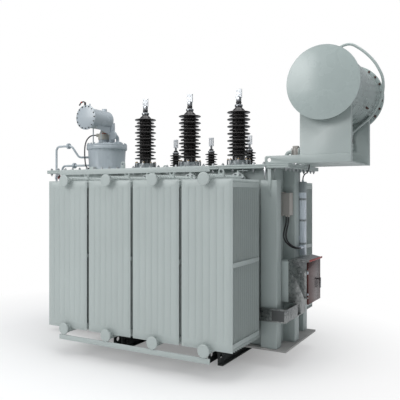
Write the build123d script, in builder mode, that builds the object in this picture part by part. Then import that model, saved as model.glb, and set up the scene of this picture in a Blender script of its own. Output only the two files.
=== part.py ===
"""Oil-filled power transformer with a tap changer, radiators on both long sides and a conservator.

Millimetres. X runs along the tank towards the conservator, Y runs across it from the radiators
seen in front to those behind, Z is up from the ground. The origin is on the ground, under the
middle of the whole length and width.
"""
import os
from math import cos, radians, sin, sqrt, tan

from build123d import *

# Tank, from the ground up
skid_height = 160
base_thickness = 20
tank_length = 2770
tank_width = 800
header_to_tank_top = 115
flange_thickness = 20
cover_end_overhang = 183.5
cover_side_overhang = 87.5
cover_corner_radius = 20
base_end_overhang = 150
base_side_overhang = 75

# Skids: pairs of channels across the tank
skid_length = 1340
skid_flange_width = 58
skid_web_thickness = 9
skid_flange_thickness = 12
skid_pair_width = 214
skid_places = (-324, 852)
skid_hole_radius = 25
skid_hole_inset = 70

# Radiators
radiator_count = 4
radiator_pitch = 550
radiator_row_centre = 205
radiator_width = 520
radiator_depth = 598
radiator_height = 1530
radiator_bottom = 290
fin_count = 14
fin_thickness = 12
fin_edge_taper = 4
fin_channel_count = 7
fin_groove_width = 12
fin_groove_depth = 3
header_across = 90
blank_radius = 61
blank_reach = 60
blank_thickness = 16
blank_neck_radius = 38
radiator_stand_off = 142
neck_radius = 45
valve_flange_radius = 80
valve_flange_thickness = 18
spacer_height = 45
spacer_thickness = 8
spacer_inset = 55
eye_width = 65
eye_thickness = 8
eye_height = 59
eye_hole_radius = 17
eye_hole_drop = 27
lever_length = 110
lever_width = 18
lever_thickness = 6
spindle_radius = 12
spindle_height = 19
tie_bar_height = 50
tie_bar_thickness = 12

# Stiffening boxes on the tank walls
stiffener_width = 120
side_stiffener_depth = 65
stiffener_slope = 30
corner_box_length = 170
corner_box_wrap = 55
corner_box_return = 60
end_stiffener_width = 131
end_stiffener_depth = 120
end_stiffener_offset = -65

# Each porcelain shed: how far its lip starts, ends and runs back to the core above its level
shed_lip_start = 2
shed_lip_end = 6
shed_slope_end = 18

# High voltage bushings
hv_pitch = 594
hv_centre = 336
hv_line = -240
hv_porcelain_height = 574
hv_core_radius = 66
hv_shed_radius = 122
hv_small_shed_radius = 102
hv_large_sheds = 7
hv_collar_height = 95
hv_top_collar = 32
hv_clamp_radius = 98
hv_clamp_height = 44
hv_stud_count = 8
hv_stud_line = 113
hv_stud_radius = 6
hv_stud_height = 52
hv_flange_radius = 130
hv_flange_thickness = 15
hv_cap_radius = 62
hv_cap_height = 45
hv_ring_radius = 42
hv_ring_height = 12
hv_ball_radius = 30
hv_stem_radius = 16
hv_stem_height = 95
hv_clamp_block = 44
hv_palm_width = 70
hv_palm_height = 80
hv_palm_thickness = 12
hv_palm_hole_radius = 7
hv_palm_hole_pitch = 38

# Low voltage bushings
lv_pitch = 493
lv_centre = 339
lv_line = 260
lv_height = 185
lv_core_radius = 36
lv_shed_radius = 73
lv_small_shed_radius = 61
lv_large_sheds = 3
lv_collar_height = 42
lv_top_collar = 30
lv_clamp_radius = 52
lv_clamp_height = 22
lv_flange_radius = 70
lv_cap_radius = 40
lv_cap_height = 18
lv_nut_radius = 24
lv_nut_height = 22
lv_stem_radius = 13
lv_stem_height = 85
lv_palm_width = 60
lv_palm_height = 90
lv_palm_thickness = 10
lv_palm_hole_radius = 6.5
lv_palm_hole_pitch = 32

# Lifting lugs on the cover
lug_width = 60
lug_height = 80
lug_thickness = 12
lug_hole_radius = 14
lug_place = -428
lug_inset = 47

# Tap changer head
oltc_inset = 552.5
oltc_radius = 235
oltc_taper = 13
oltc_base_radius = 262
oltc_base_thickness = 22
oltc_drum_height = 290
oltc_flange_radius = 252
oltc_flange_thickness = 45
oltc_lid_thickness = 16
oltc_dome_radius = 155
oltc_dome_top_radius = 128
oltc_dome_height = 26
oltc_neck_radius = 70
oltc_neck_height = 68
oltc_gear_offset = -45
oltc_gear_radius = 76
oltc_gear_shoulder_radius = 64
oltc_gear_top_radius = 46
oltc_gear_height = 112
oltc_boss_radius = 22
oltc_boss_length = 22
oltc_column_offset = 78
oltc_column_radius = 38
oltc_elbow_radius = 21
oltc_elbow_flange_radius = 50
oltc_elbow_flange_thickness = 12
oltc_elbow_foot_height = 30
oltc_elbow_offset = 168
oltc_elbow_rise = 105
oltc_elbow_reach = 74
oltc_elbow_bend = 45
oltc_vessel_radius = 119
oltc_vessel_rim_radius = 147
oltc_vessel_rim_thickness = 16
oltc_vessel_length = 421
oltc_vessel_dish = 36
oltc_vessel_front = -402
oltc_vessel_rise = 302
oltc_vessel_cap_radius = 30
oltc_vessel_cap_height = 26
oltc_vessel_cap_inset = 352
oltc_fitting_radius = 10
oltc_fitting_height = 45
oltc_fitting_inset = 40
oltc_fitting_offsets = (-40, 30)
oltc_strut_radius = 7
oltc_strut_line = -190
oltc_strut_spread = 62
oltc_gusset_thickness = 10
oltc_gusset_front = -275
oltc_gusset_depth = 120

# Oil pipes that run down outside the tank's left end
pipe_radius = 13
pipe_clearance = 18
pipe_bend = 55
pipe_flange_radius = 35
pipe_flange_thickness = 12
pipe_foot = 900
pipe_bracket_levels = (1200, 1750)
pipe_bracket_width = 40
pipe_bracket_thickness = 6
upper_pipe_line = -284
upper_pipe_rise = 309
upper_pipe_entry = 169
lower_pipe_line = -181
lower_pipe_rise = 69
pipe_flange_reach = 60
# Their last corners, beside the tap changer's axis in X and the pipe's own line in Y
upper_pipe_corners = ((-330, 0), (-262, 60), (-120, 150))
lower_pipe_corners = ((-330, 0), (-110, 40))

# Conservator
conservator_overhang = 346.5
conservator_radius = 318
conservator_plate_radius = 341
conservator_plate_thickness = 12
conservator_front = -565
conservator_back = 474
conservator_rise = 726
conservator_flange_radius = 355
conservator_flange_thickness = 28
strip_angle = -33
strip_width = 45
strip_thickness = 6
strip_back = 330
bracket_thickness = 12
bracket_width = 480
bracket_front = -480
bracket_back = 283
bracket_lip = 40
rail_thickness = 8
arm_height = 79
arm_seat = 248.5
arm_corner_radius = 22
arm_hole_radius = 20
arm_hole_inset = 45

# Breather pipe over the conservator: its corners beside and above the conservator's axis
breather_line = 245
breather_radius = 14
breather_corners = (
    (-130, 270),
    (-130, 430),
    (-50, 522),
    (62, 540),
    (185, 452),
    (302, 326),
    (381, 165),
    (388, 35),
    (357, -88),
    (279, -222),
    (166, -318),
    (67, -392),
    (65, -503),
)
breather_canister_radius = 26
breather_canister_height = 62

# Gas relay and its pipe between the cover and the conservator
relay_pipe_radius = 20
relay_pipe_bend = 40
relay_pipe_start = 198.5
relay_pipe_level = 145
relay_start = 131.5
relay_length = 70
relay_body_radius = 34
relay_body_height = 78
relay_box_side = 54
relay_box_height = 24
relay_flange_radius = 42
relay_flange_thickness = 10
relay_pipe_rise_inset = 215

# Control cabinet and the gear on the conservator end
cabinet_depth = 186
cabinet_width = 394
cabinet_height = 412
cabinet_bottom = 614
cabinet_near_side = -321
cabinet_wall = 3
cabinet_door_thickness = 12
cabinet_door_gap = 5
cabinet_roof_overhang = 16
cabinet_roof_rise = 32
hinge_pin_radius = 4
hinge_knuckle_radius = 8
hinge_knuckle_height = 20
hinge_lug_height = 12
hinge_inset = 60
hinge_leaf_length = 25
handle_inset = 45
handle_length = 90
handle_spindle_radius = 6
handle_thickness = 12
handle_stand_off = 6
pin_clearance = 0.05
duct_side = 55
duct_near_side = 16
duct_bottom = 1052
duct_drop = 125
duct_clamp_inset = 150
duct_clamp_height = 40
tray_depth = 40
tray_height = 127
tray_bottom = 450
tray_front_run = 130
tray_side_end = 80
tray_mouth_depth = 25
tray_mouth_length = 95
tray_mouth_margin = 12
terminal_box_length = 66
terminal_box_width = 101
terminal_box_height = 221
terminal_box_drop = 241
terminal_box_gap = 30
terminal_box_lid = 6
terminal_box_lid_edge = 3
terminal_box_foot_margin = 10
terminal_box_gland_share = 0.6

# Black cables and their glands
gland_radius = 11.5
gland_length = 20
duct_gland_length = 90
duct_gland_drop = 801
gland_box_side = 60
gland_box_height = 40
gland_box_line = -300
gland_box_offset = -5
cable_radius = 8
small_cable_radius = 6
cable_spacing = 24

seat_gap = 0.3

# Levels and lines that follow from the sizes above
base_top = skid_height + base_thickness
radiator_top = radiator_bottom + radiator_height
tank_top = radiator_top + header_to_tank_top
cover_bottom = tank_top + flange_thickness
cover_top = cover_bottom + flange_thickness
cover_length = tank_length + 2 * cover_end_overhang
cover_width = tank_width + 2 * cover_side_overhang
base_length = tank_length + 2 * base_end_overhang
base_width = tank_width + 2 * base_side_overhang
pipe_offset = cover_length / 2 + pipe_clearance + pipe_radius
conservator_offset = cover_length / 2 + conservator_overhang
left_reach = pipe_offset + pipe_flange_radius
right_reach = conservator_offset + conservator_flange_radius
tank_centre = (left_reach - right_reach) / 2
tank_end = tank_centre + tank_length / 2
tank_face = tank_width / 2
cover_end = tank_centre + cover_length / 2
oltc_x = tank_centre - cover_length / 2 + oltc_inset
radiator_back = tank_face + radiator_stand_off
radiator_front = radiator_back + radiator_depth
fin_pitch = (radiator_depth - fin_thickness) / (fin_count - 1)
radiator_places = [
    tank_centre + radiator_row_centre + radiator_pitch * (i - (radiator_count - 1) / 2)
    for i in range(radiator_count)
]
hv_places = [tank_centre + hv_centre + hv_pitch * i for i in (-1, 0, 1)]
lv_places = [tank_centre + lv_centre + lv_pitch * i for i in (-1, 0, 1)]
end_face = tank_end + end_stiffener_depth

os.makedirs("parts", exist_ok=True)


def save(builder, name):
    """Label a finished piece and write it to its own file."""
    builder.part.label = name
    export_step(builder.part, f"parts/{name}.step")


def block(x_span, y_span, z_span, mode=Mode.ADD):
    """Add a box that fills the given spans to the piece being built."""
    spans = (x_span, y_span, z_span)
    middle = tuple((low + high) / 2 for low, high in spans)
    with Locations(middle):
        Box(*(high - low for low, high in spans), mode=mode)


def disc(centre, direction, radius, thickness, mode=Mode.ADD):
    """Add a round plate or bar that starts at centre and runs along direction."""
    with Locations(Plane(origin=centre, z_dir=direction)):
        Cylinder(radius, thickness, align=(Align.CENTER, Align.CENTER, Align.MIN), mode=mode)


def turned(foot, direction, outline, mode=Mode.ADD):
    """Add a round piece from (radius, height) pairs that start and end on its axis."""
    side = (0, 1, 0) if direction[0] else (1, 0, 0)
    across = Vector(*direction).cross(Vector(*side))
    with BuildSketch(Plane(origin=foot, x_dir=side, z_dir=-across)) as profile:
        with BuildLine():
            Polyline(*outline, close=True)
        make_face()
    revolve(profile.sketch, axis=Axis(foot, direction), mode=mode)


def bent_pipe(corners, radius, bend):
    """Add a pipe that runs straight between arcs of one bend radius."""
    with BuildLine() as route:
        FilletPolyline(*corners, radius=bend)
    with BuildSketch(Plane(origin=corners[0], z_dir=Vector(*corners[1]) - Vector(*corners[0]))) as section:
        Circle(radius)
    sweep(section.sketch, path=route.line)


def largest_arcs(corners):
    """Give each corner of a route the largest arc that its two runs allow."""
    arcs = []
    for before, corner, after in zip(corners, corners[1:], corners[2:]):
        back, ahead = Vector(*corner) - Vector(*before), Vector(*after) - Vector(*corner)
        half_turn = radians(back.get_angle(ahead)) / 2
        arcs.append(0.45 * min(back.length, ahead.length) / tan(half_turn))
    return arcs


# Base plate and skids
with BuildPart() as base_plate:
    block(
        (tank_centre - base_length / 2, tank_centre + base_length / 2),
        (-base_width / 2, base_width / 2),
        (skid_height, base_top),
    )
save(base_plate, "base_plate")


def build_skid(place):
    """Build one pair of channels, back to back, with a hauling hole near each end."""
    half = skid_pair_width / 2
    with BuildPart() as skid:
        with BuildSketch(Plane.XZ.offset(-skid_length / 2)):
            for side in (-1, 1):
                web = side * (half - skid_flange_width)
                with BuildLine():
                    Polyline(
                        (place + web, 0),
                        (place + side * half, 0),
                        (place + side * half, skid_flange_thickness),
                        (place + web + side * skid_web_thickness, skid_flange_thickness),
                        (place + web + side * skid_web_thickness, skid_height - skid_flange_thickness),
                        (place + side * half, skid_height - skid_flange_thickness),
                        (place + side * half, skid_height),
                        (place + web, skid_height),
                        close=True,
                    )
                make_face()
        extrude(amount=skid_length)
        for end in (-1, 1):
            hole_y = end * (skid_length / 2 - skid_hole_inset)
            disc((place - half, hole_y, skid_height / 2), (1, 0, 0), skid_hole_radius,
                 skid_pair_width, Mode.SUBTRACT)
    return skid


for name, place in zip(("skid_left", "skid_right"), skid_places):
    save(build_skid(tank_centre + place), name)

# Tank, its flange and its cover
with BuildPart() as tank_shell:
    block(
        (tank_centre - tank_length / 2, tank_end),
        (-tank_face, tank_face),
        (base_top, tank_top),
    )
save(tank_shell, "tank_shell")

gland_box_x = oltc_x + gland_box_offset
for name, bottom, top in (
    ("tank_flange", tank_top, cover_bottom),
    ("cover_plate", cover_bottom, cover_top),
):
    with BuildPart() as plate:
        with BuildSketch(Plane.XY.offset(bottom)):
            with Locations((tank_centre, 0)):
                RectangleRounded(cover_length, cover_width, cover_corner_radius)
        extrude(amount=top - bottom)
        # Gland box beside the tap changer
        if name == "cover_plate":
            block(
                (gland_box_x, gland_box_x + gland_box_side),
                (gland_box_line - gland_box_side / 2, gland_box_line + gland_box_side / 2),
                (cover_top, cover_top + gland_box_height),
            )
    save(plate, name)

# Stiffening boxes: one between each two radiators, one round each corner, one on each end
stiffener_places = [
    (radiator_places[i] + radiator_places[i + 1]) / 2 for i in range(radiator_count - 1)
]
with BuildPart() as side_stiffeners:
    for side in (-1, 1):
        for place in stiffener_places:
            edge = (place - stiffener_width / 2, side * tank_face, 0)
            with BuildSketch(Plane(origin=edge, x_dir=(0, side, 0), z_dir=(side, 0, 0))):
                with BuildLine():
                    Polyline(
                        (0, base_top),
                        (side_stiffener_depth, base_top),
                        (side_stiffener_depth, radiator_top - stiffener_slope),
                        (0, radiator_top),
                        close=True,
                    )
                make_face()
            extrude(amount=side * stiffener_width)
save(side_stiffeners, "side_stiffeners")

with BuildPart() as corner_boxes:
    for end in (-1, 1):
        for side in (-1, 1):
            outer_x = end * (tank_length / 2 + corner_box_wrap)
            inner_x = outer_x - end * corner_box_length
            wall_x = end * tank_length / 2
            outer_y = side * (tank_face + side_stiffener_depth)
            return_y = side * (tank_face - corner_box_return)
            wall_y = side * tank_face
            with BuildSketch(Plane.XY.offset(base_top)):
                with BuildLine():
                    Polyline(
                        (tank_centre + outer_x, outer_y),
                        (tank_centre + outer_x, return_y),
                        (tank_centre + wall_x, return_y),
                        (tank_centre + wall_x, wall_y),
                        (tank_centre + inner_x, wall_y),
                        (tank_centre + inner_x, outer_y),
                        close=True,
                    )
                make_face()
            extrude(amount=radiator_top - base_top)
save(corner_boxes, "corner_boxes")

stiffener_near = end_stiffener_offset - end_stiffener_width / 2
stiffener_far = end_stiffener_offset + end_stiffener_width / 2
with BuildPart() as end_stiffeners:
    for end in (-1, 1):
        wall = end * tank_length / 2
        wall_x = sorted((wall, wall + end * end_stiffener_depth))
        block(
            (tank_centre + wall_x[0], tank_centre + wall_x[1]),
            (stiffener_near, stiffener_far),
            (base_top, tank_top),
        )
save(end_stiffeners, "end_stiffeners")


# One radiator in front of the origin: pressed fins on two header pipes with blanked ends
with BuildPart() as radiator:
    half = radiator_width / 2
    channel_pitch = radiator_width / fin_channel_count
    with BuildSketch(Plane.XY.offset(radiator_bottom)):
        for row in range(fin_count):
            near = -radiator_back - row * fin_pitch
            far = near - fin_thickness
            with BuildLine():
                Polyline(
                    (-half, near - fin_edge_taper),
                    (-half + fin_edge_taper, near),
                    (half - fin_edge_taper, near),
                    (half, near - fin_edge_taper),
                    (half, far + fin_edge_taper),
                    (half - fin_edge_taper, far),
                    (-half + fin_edge_taper, far),
                    (-half, far + fin_edge_taper),
                    close=True,
                )
            make_face()
    extrude(amount=radiator_height)
    # Creases between the channels of the outermost fin
    with BuildSketch(Plane.XY.offset(radiator_bottom)):
        for channel in range(1, fin_channel_count):
            crease = -half + channel * channel_pitch
            with BuildLine():
                Polyline(
                    (crease - fin_groove_width / 2, -radiator_front),
                    (crease, -radiator_front + fin_groove_depth),
                    (crease + fin_groove_width / 2, -radiator_front),
                    close=True,
                )
            make_face()
    extrude(amount=radiator_height, mode=Mode.SUBTRACT)
    # Header pipes, drawn as eight flats, and their blanked ends
    for level in (radiator_bottom, radiator_top):
        with BuildSketch(Plane(origin=(0, -radiator_back, level), x_dir=(1, 0, 0), z_dir=(0, -1, 0))):
            RegularPolygon(header_across / 2, 8, major_radius=False, rotation=22.5)
        extrude(amount=radiator_depth)
        disc((0, -radiator_front, level), (0, -1, 0), blank_neck_radius, blank_reach - blank_thickness)
        disc((0, -radiator_front - blank_reach + blank_thickness, level), (0, -1, 0),
             blank_radius, blank_thickness)
    # Spacer bands that keep the fins apart, near both ends and at mid height
    for middle in (
        radiator_bottom + spacer_inset,
        (radiator_bottom + radiator_top) / 2,
        radiator_top - spacer_inset,
    ):
        for near, far in ((-half, -half + spacer_thickness), (half - spacer_thickness, half)):
            block((near, far), (-radiator_front + fin_thickness, -radiator_back),
                  (middle - spacer_height / 2, middle + spacer_height / 2))
    # Lifting eye on the top header
    eye_y = -radiator_back - radiator_depth / 2
    eye_top = radiator_top + header_across / 2 + eye_height
    block(
        (-eye_width / 2, eye_width / 2),
        (eye_y - eye_thickness / 2, eye_y + eye_thickness / 2),
        (radiator_top, eye_top),
    )
    disc((0, eye_y - eye_thickness, eye_top - eye_hole_drop), (0, 1, 0),
         eye_hole_radius, eye_thickness * 2, Mode.SUBTRACT)

for row_name, turn in (("front", 0), ("back", 180)):
    for number, place in enumerate(radiator_places, start=1):
        with BuildPart() as placed_radiator:
            with Locations(Location((place, 0, 0), (0, 0, turn))):
                add(radiator.part)
        save(placed_radiator, f"{row_name}_radiator_{number}")

# Necks between headers and tank, each with a pair of valve flanges and a valve lever
for row_name, side in (("front", -1), ("back", 1)):
    with BuildPart() as necks:
        middle = side * (tank_face + (radiator_stand_off - valve_flange_thickness * 2) / 2)
        lever_y = middle + side * valve_flange_thickness
        for place in radiator_places:
            for level in (radiator_bottom, radiator_top):
                disc((place, side * tank_face, level), (0, side, 0), neck_radius, radiator_stand_off)
                disc((place, middle, level), (0, side, 0), valve_flange_radius, valve_flange_thickness * 2)
                spindle_foot = level + valve_flange_radius - spindle_radius / 2
                spindle_top = level + valve_flange_radius + spindle_height
                disc((place, lever_y, spindle_foot), (0, 0, 1), spindle_radius, spindle_top - spindle_foot)
                block(
                    (place, place + lever_length),
                    (lever_y - lever_width / 2, lever_y + lever_width / 2),
                    (spindle_top - lever_thickness, spindle_top),
                )
    save(necks, f"{row_name}_header_valves")

# Tie bars along the blanked header ends
bar_start = radiator_places[0] - blank_radius
bar_end = radiator_places[-1] + blank_radius
for row_name, side in (("front", -1), ("back", 1)):
    with BuildPart() as tie_bars:
        bar_y = side * (radiator_front + blank_neck_radius)
        for level, direction in ((radiator_bottom, -1), (radiator_top, 1)):
            near = level + direction * (blank_radius + seat_gap)
            far = near + direction * tie_bar_height
            block(
                (bar_start, bar_end),
                sorted((bar_y, bar_y + side * tie_bar_thickness)),
                sorted((near, far)),
            )
    save(tie_bars, f"{row_name}_tie_bars")


def build_bushing(place, line, foot, height, core, sheds):
    """Build one porcelain insulator whose sheds are (level, radius) pairs above its foot."""
    outline = [(0, 0), (core, 0)]
    for level, radius in sheds:
        outline += [
            (core, level),
            (radius, level + shed_lip_start),
            (radius, level + shed_lip_end),
            (core, level + shed_slope_end),
        ]
    outline += [(core, height), (0, height)]
    with BuildPart() as bushing:
        turned((place, line, foot), (0, 0, 1), outline)
    return bushing


def shed_levels(large_count, bottom, top, large, small):
    """Spread large sheds, with a small one between each two, evenly over a height."""
    count = 2 * large_count - 1
    return [
        (bottom + (top - bottom) * i / (count - 1), small if i % 2 else large) for i in range(count)
    ]


# High voltage bushings
bushing_foot = cover_top + hv_flange_thickness
hv_sheds = shed_levels(
    hv_large_sheds, hv_collar_height, hv_porcelain_height - hv_top_collar, hv_shed_radius, hv_small_shed_radius
)
for number, place in enumerate(hv_places, start=1):
    save(
        build_bushing(place, hv_line, bushing_foot, hv_porcelain_height, hv_core_radius, hv_sheds),
        f"hv_bushing_{number}",
    )

hv_top = bushing_foot + hv_porcelain_height
palm_bottom = hv_top + hv_cap_height + hv_stem_height
for number, place in enumerate(hv_places, start=1):
    with BuildPart() as terminal:
        turned((place, hv_line, hv_top), (0, 0, 1), [
            (0, 0),
            (hv_cap_radius, 0),
            (hv_cap_radius, hv_cap_height * 0.6),
            (hv_ring_radius, hv_cap_height),
            (hv_ring_radius, hv_cap_height + hv_ring_height),
            (hv_stem_radius, hv_cap_height + hv_ring_height),
            (hv_stem_radius, hv_cap_height + hv_stem_height),
            (0, hv_cap_height + hv_stem_height),
        ])
        with Locations((place, hv_line, hv_top + hv_cap_height + hv_ring_height + hv_ball_radius)):
            Sphere(hv_ball_radius)
        clamp_half = hv_clamp_block / 2
        block(
            (place - clamp_half, place + clamp_half),
            (hv_line - clamp_half, hv_line + clamp_half),
            (palm_bottom - hv_clamp_block, palm_bottom - hv_palm_thickness / 2),
        )
        block(
            (place - hv_palm_width / 2, place + hv_palm_width / 2),
            (hv_line - hv_palm_thickness / 2, hv_line + hv_palm_thickness / 2),
            (palm_bottom - hv_palm_thickness, palm_bottom + hv_palm_height),
        )
        with Locations(Plane(
            origin=(place, hv_line, palm_bottom + hv_palm_height / 2), x_dir=(1, 0, 0), z_dir=(0, -1, 0)
        )):
            with GridLocations(hv_palm_hole_pitch, hv_palm_hole_pitch, 2, 2):
                Hole(hv_palm_hole_radius)
    save(terminal, f"hv_terminal_{number}")

# Low voltage bushings
lv_sheds = shed_levels(
    lv_large_sheds, lv_collar_height, lv_height - lv_top_collar, lv_shed_radius, lv_small_shed_radius
)
for number, place in enumerate(lv_places, start=1):
    save(
        build_bushing(place, lv_line, bushing_foot, lv_height, lv_core_radius, lv_sheds),
        f"lv_bushing_{number}",
    )

with BuildPart() as lv_terminals:
    lv_top = bushing_foot + lv_height
    lv_palm_bottom = lv_top + lv_stem_height
    for place in lv_places:
        turned((place, lv_line, lv_top), (0, 0, 1), [
            (0, 0),
            (lv_cap_radius, 0),
            (lv_cap_radius, lv_cap_height),
            (lv_nut_radius, lv_cap_height),
            (lv_nut_radius, lv_cap_height + lv_nut_height),
            (lv_stem_radius, lv_cap_height + lv_nut_height),
            (lv_stem_radius, lv_stem_height),
            (0, lv_stem_height),
        ])
        block(
            (place - lv_palm_width / 2, place + lv_palm_width / 2),
            (lv_line - lv_palm_thickness / 2, lv_line + lv_palm_thickness / 2),
            (lv_palm_bottom - lv_palm_thickness, lv_palm_bottom + lv_palm_height),
        )
        with Locations(Plane(
            origin=(place, lv_line, lv_palm_bottom + lv_palm_height / 2), x_dir=(1, 0, 0), z_dir=(0, -1, 0)
        )):
            with GridLocations(lv_palm_hole_pitch, lv_palm_hole_pitch, 2, 2):
                Hole(lv_palm_hole_radius)
save(lv_terminals, "lv_terminals")

# Flanges that hold the bushings on the cover, with a clamping collar round each porcelain foot
with BuildPart() as bushing_flanges:
    for places, line, outer, collar, core, rise in (
        (hv_places, hv_line, hv_flange_radius, hv_clamp_radius, hv_core_radius, hv_clamp_height),
        (lv_places, lv_line, lv_flange_radius, lv_clamp_radius, lv_core_radius, lv_clamp_height),
    ):
        for place in places:
            turned((place, line, cover_top), (0, 0, 1), [
                (0, 0),
                (outer, 0),
                (outer, hv_flange_thickness),
                (collar, hv_flange_thickness),
                (collar, hv_flange_thickness + rise),
                (core + seat_gap, hv_flange_thickness + rise),
                (core + seat_gap, hv_flange_thickness),
                (0, hv_flange_thickness),
            ])
    for place in hv_places:
        with Locations((place, hv_line, cover_top + hv_flange_thickness)):
            with PolarLocations(hv_stud_line, hv_stud_count):
                Cylinder(hv_stud_radius, hv_stud_height, align=(Align.CENTER, Align.CENTER, Align.MIN))
save(bushing_flanges, "bushing_flanges")

# Lifting lugs near the cover's long edges
with BuildPart() as lifting_lugs:
    for side in (-1, 1):
        lug_y = side * (cover_width / 2 - lug_inset)
        lug_x = tank_centre + lug_place
        lug_middle = cover_top + lug_height - lug_width / 2
        block(
            (lug_x - lug_width / 2, lug_x + lug_width / 2),
            (lug_y - lug_thickness / 2, lug_y + lug_thickness / 2),
            (cover_top, lug_middle),
        )
        disc((lug_x, lug_y - lug_thickness / 2, lug_middle), (0, 1, 0), lug_width / 2, lug_thickness)
        disc((lug_x, lug_y - lug_thickness, lug_middle), (0, 1, 0), lug_hole_radius, lug_thickness * 2,
             Mode.SUBTRACT)
save(lifting_lugs, "lifting_lugs")

# Tap changer head
drum_top = cover_top + oltc_base_thickness + oltc_drum_height
lid_top = drum_top + oltc_lid_thickness
with BuildPart() as oltc_drum:
    drum_height = oltc_base_thickness + oltc_drum_height
    turned((oltc_x, 0, cover_top), (0, 0, 1), [
        (0, 0),
        (oltc_base_radius, 0),
        (oltc_base_radius, oltc_base_thickness),
        (oltc_radius - oltc_taper, oltc_base_thickness),
        (oltc_radius, drum_height - oltc_flange_thickness),
        (oltc_flange_radius, drum_height - oltc_flange_thickness),
        (oltc_flange_radius, drum_height),
        (0, drum_height),
    ])
save(oltc_drum, "oltc_drum")

gear_x = oltc_x + oltc_gear_offset
dome_top = lid_top + oltc_dome_height
with BuildPart() as oltc_lid:
    turned((oltc_x, 0, drum_top), (0, 0, 1), [
        (0, 0),
        (oltc_flange_radius, 0),
        (oltc_flange_radius, oltc_lid_thickness),
        (oltc_dome_radius, oltc_lid_thickness),
        (oltc_dome_top_radius, oltc_lid_thickness + oltc_dome_height),
        (0, oltc_lid_thickness + oltc_dome_height),
    ])
    disc((gear_x, 0, lid_top), (0, 0, 1), oltc_neck_radius, oltc_neck_height)
save(oltc_lid, "oltc_lid")

# Bell-shaped gear housing with a cable boss on its front left
gear_bottom = lid_top + oltc_neck_height
vessel_axis = lid_top + oltc_vessel_rise
boss_level = gear_bottom + oltc_gear_height / 2
with BuildPart() as oltc_gear_housing:
    turned((gear_x, 0, gear_bottom), (0, 0, 1), [
        (0, 0),
        (oltc_gear_radius, 0),
        (oltc_gear_radius, oltc_gear_height * 0.2),
        (oltc_gear_shoulder_radius, oltc_gear_height * 0.65),
        (oltc_gear_top_radius, oltc_gear_height),
        (0, oltc_gear_height),
    ])
    disc((gear_x, 0, boss_level), (-1, -1, 0), oltc_boss_radius, oltc_gear_radius + oltc_boss_length)
save(oltc_gear_housing, "oltc_gear_housing")

elbow_x = oltc_x + oltc_elbow_offset
with BuildPart() as oltc_elbow:
    elbow_level = lid_top + oltc_elbow_rise
    elbow_end = -oltc_elbow_reach - oltc_elbow_flange_thickness
    elbow_corners = [
        (elbow_x, 0, dome_top),
        (elbow_x, 0, elbow_level),
        (elbow_x, elbow_end, elbow_level),
    ]
    bent_pipe(elbow_corners, oltc_elbow_radius, oltc_elbow_bend)
    disc((elbow_x, 0, lid_top), (0, 0, 1), oltc_elbow_flange_radius, oltc_elbow_foot_height)
    disc((elbow_x, -oltc_elbow_reach, elbow_level), (0, -1, 0), oltc_elbow_flange_radius,
         oltc_elbow_flange_thickness * 2)
    turned((oltc_x, 0, lid_top), (0, 0, 1), [
        (0, -1),
        (oltc_dome_radius + seat_gap, -1),
        (oltc_dome_radius + seat_gap, 0),
        (oltc_dome_top_radius + seat_gap, oltc_dome_height + seat_gap),
        (0, oltc_dome_height + seat_gap),
    ], Mode.SUBTRACT)
save(oltc_elbow, "oltc_elbow")

with BuildPart() as oltc_conservator:
    turned((oltc_x, oltc_vessel_front, vessel_axis), (0, 1, 0), [
        (0, 0),
        (oltc_vessel_rim_radius, 0),
        (oltc_vessel_rim_radius, oltc_vessel_rim_thickness),
        (oltc_vessel_radius, oltc_vessel_rim_thickness),
        (oltc_vessel_radius, oltc_vessel_length - oltc_vessel_dish),
        (oltc_vessel_radius * 0.8, oltc_vessel_length - oltc_vessel_dish * 0.35),
        (oltc_vessel_radius * 0.4, oltc_vessel_length - oltc_vessel_dish * 0.05),
        (0, oltc_vessel_length),
    ])
    # Filler cap and two small fittings on top
    cap_y = oltc_vessel_front + oltc_vessel_cap_inset
    disc((oltc_x, cap_y, vessel_axis), (0, 0, 1), oltc_vessel_cap_radius,
         oltc_vessel_radius + oltc_vessel_cap_height)
    fitting_y = oltc_vessel_front + oltc_fitting_inset
    for offset in oltc_fitting_offsets:
        disc((oltc_x + offset, fitting_y, vessel_axis), (0, 0, 1), oltc_fitting_radius,
             oltc_vessel_radius + oltc_fitting_height)
save(oltc_conservator, "oltc_conservator")

# Struts, column and gusset that carry the vessel
with BuildPart() as oltc_struts:
    column_x = oltc_x + oltc_column_offset
    disc((column_x, 0, dome_top), (0, 0, 1), oltc_column_radius, vessel_axis - dome_top)
    gusset_top = vessel_axis - oltc_vessel_radius / 2
    with BuildSketch(Plane(
        origin=(column_x - oltc_gusset_thickness / 2, 0, 0), x_dir=(0, 1, 0), z_dir=(1, 0, 0)
    )):
        with BuildLine():
            Polyline(
                (0, gusset_top - oltc_gusset_depth),
                (-oltc_column_radius - 20, gusset_top - oltc_gusset_depth),
                (oltc_gusset_front, gusset_top - oltc_gusset_depth * 0.5),
                (oltc_gusset_front, gusset_top),
                (0, gusset_top),
                close=True,
            )
        make_face()
    extrude(amount=oltc_gusset_thickness)
    for spread in (-1, 1):
        disc((oltc_x + spread * oltc_strut_spread, oltc_strut_line, lid_top), (0, 0, 1), oltc_strut_radius,
             vessel_axis - lid_top)
    disc((oltc_x, oltc_vessel_front, vessel_axis), (0, 1, 0), oltc_vessel_radius + seat_gap,
         oltc_vessel_length + 50, Mode.SUBTRACT)
save(oltc_struts, "oltc_struts")

# Oil pipes from the drum down the tank's left end, each with a blanked foot and brackets to the wall
pipe_x = tank_centre - pipe_offset
wall_left = tank_centre - tank_length / 2


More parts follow.
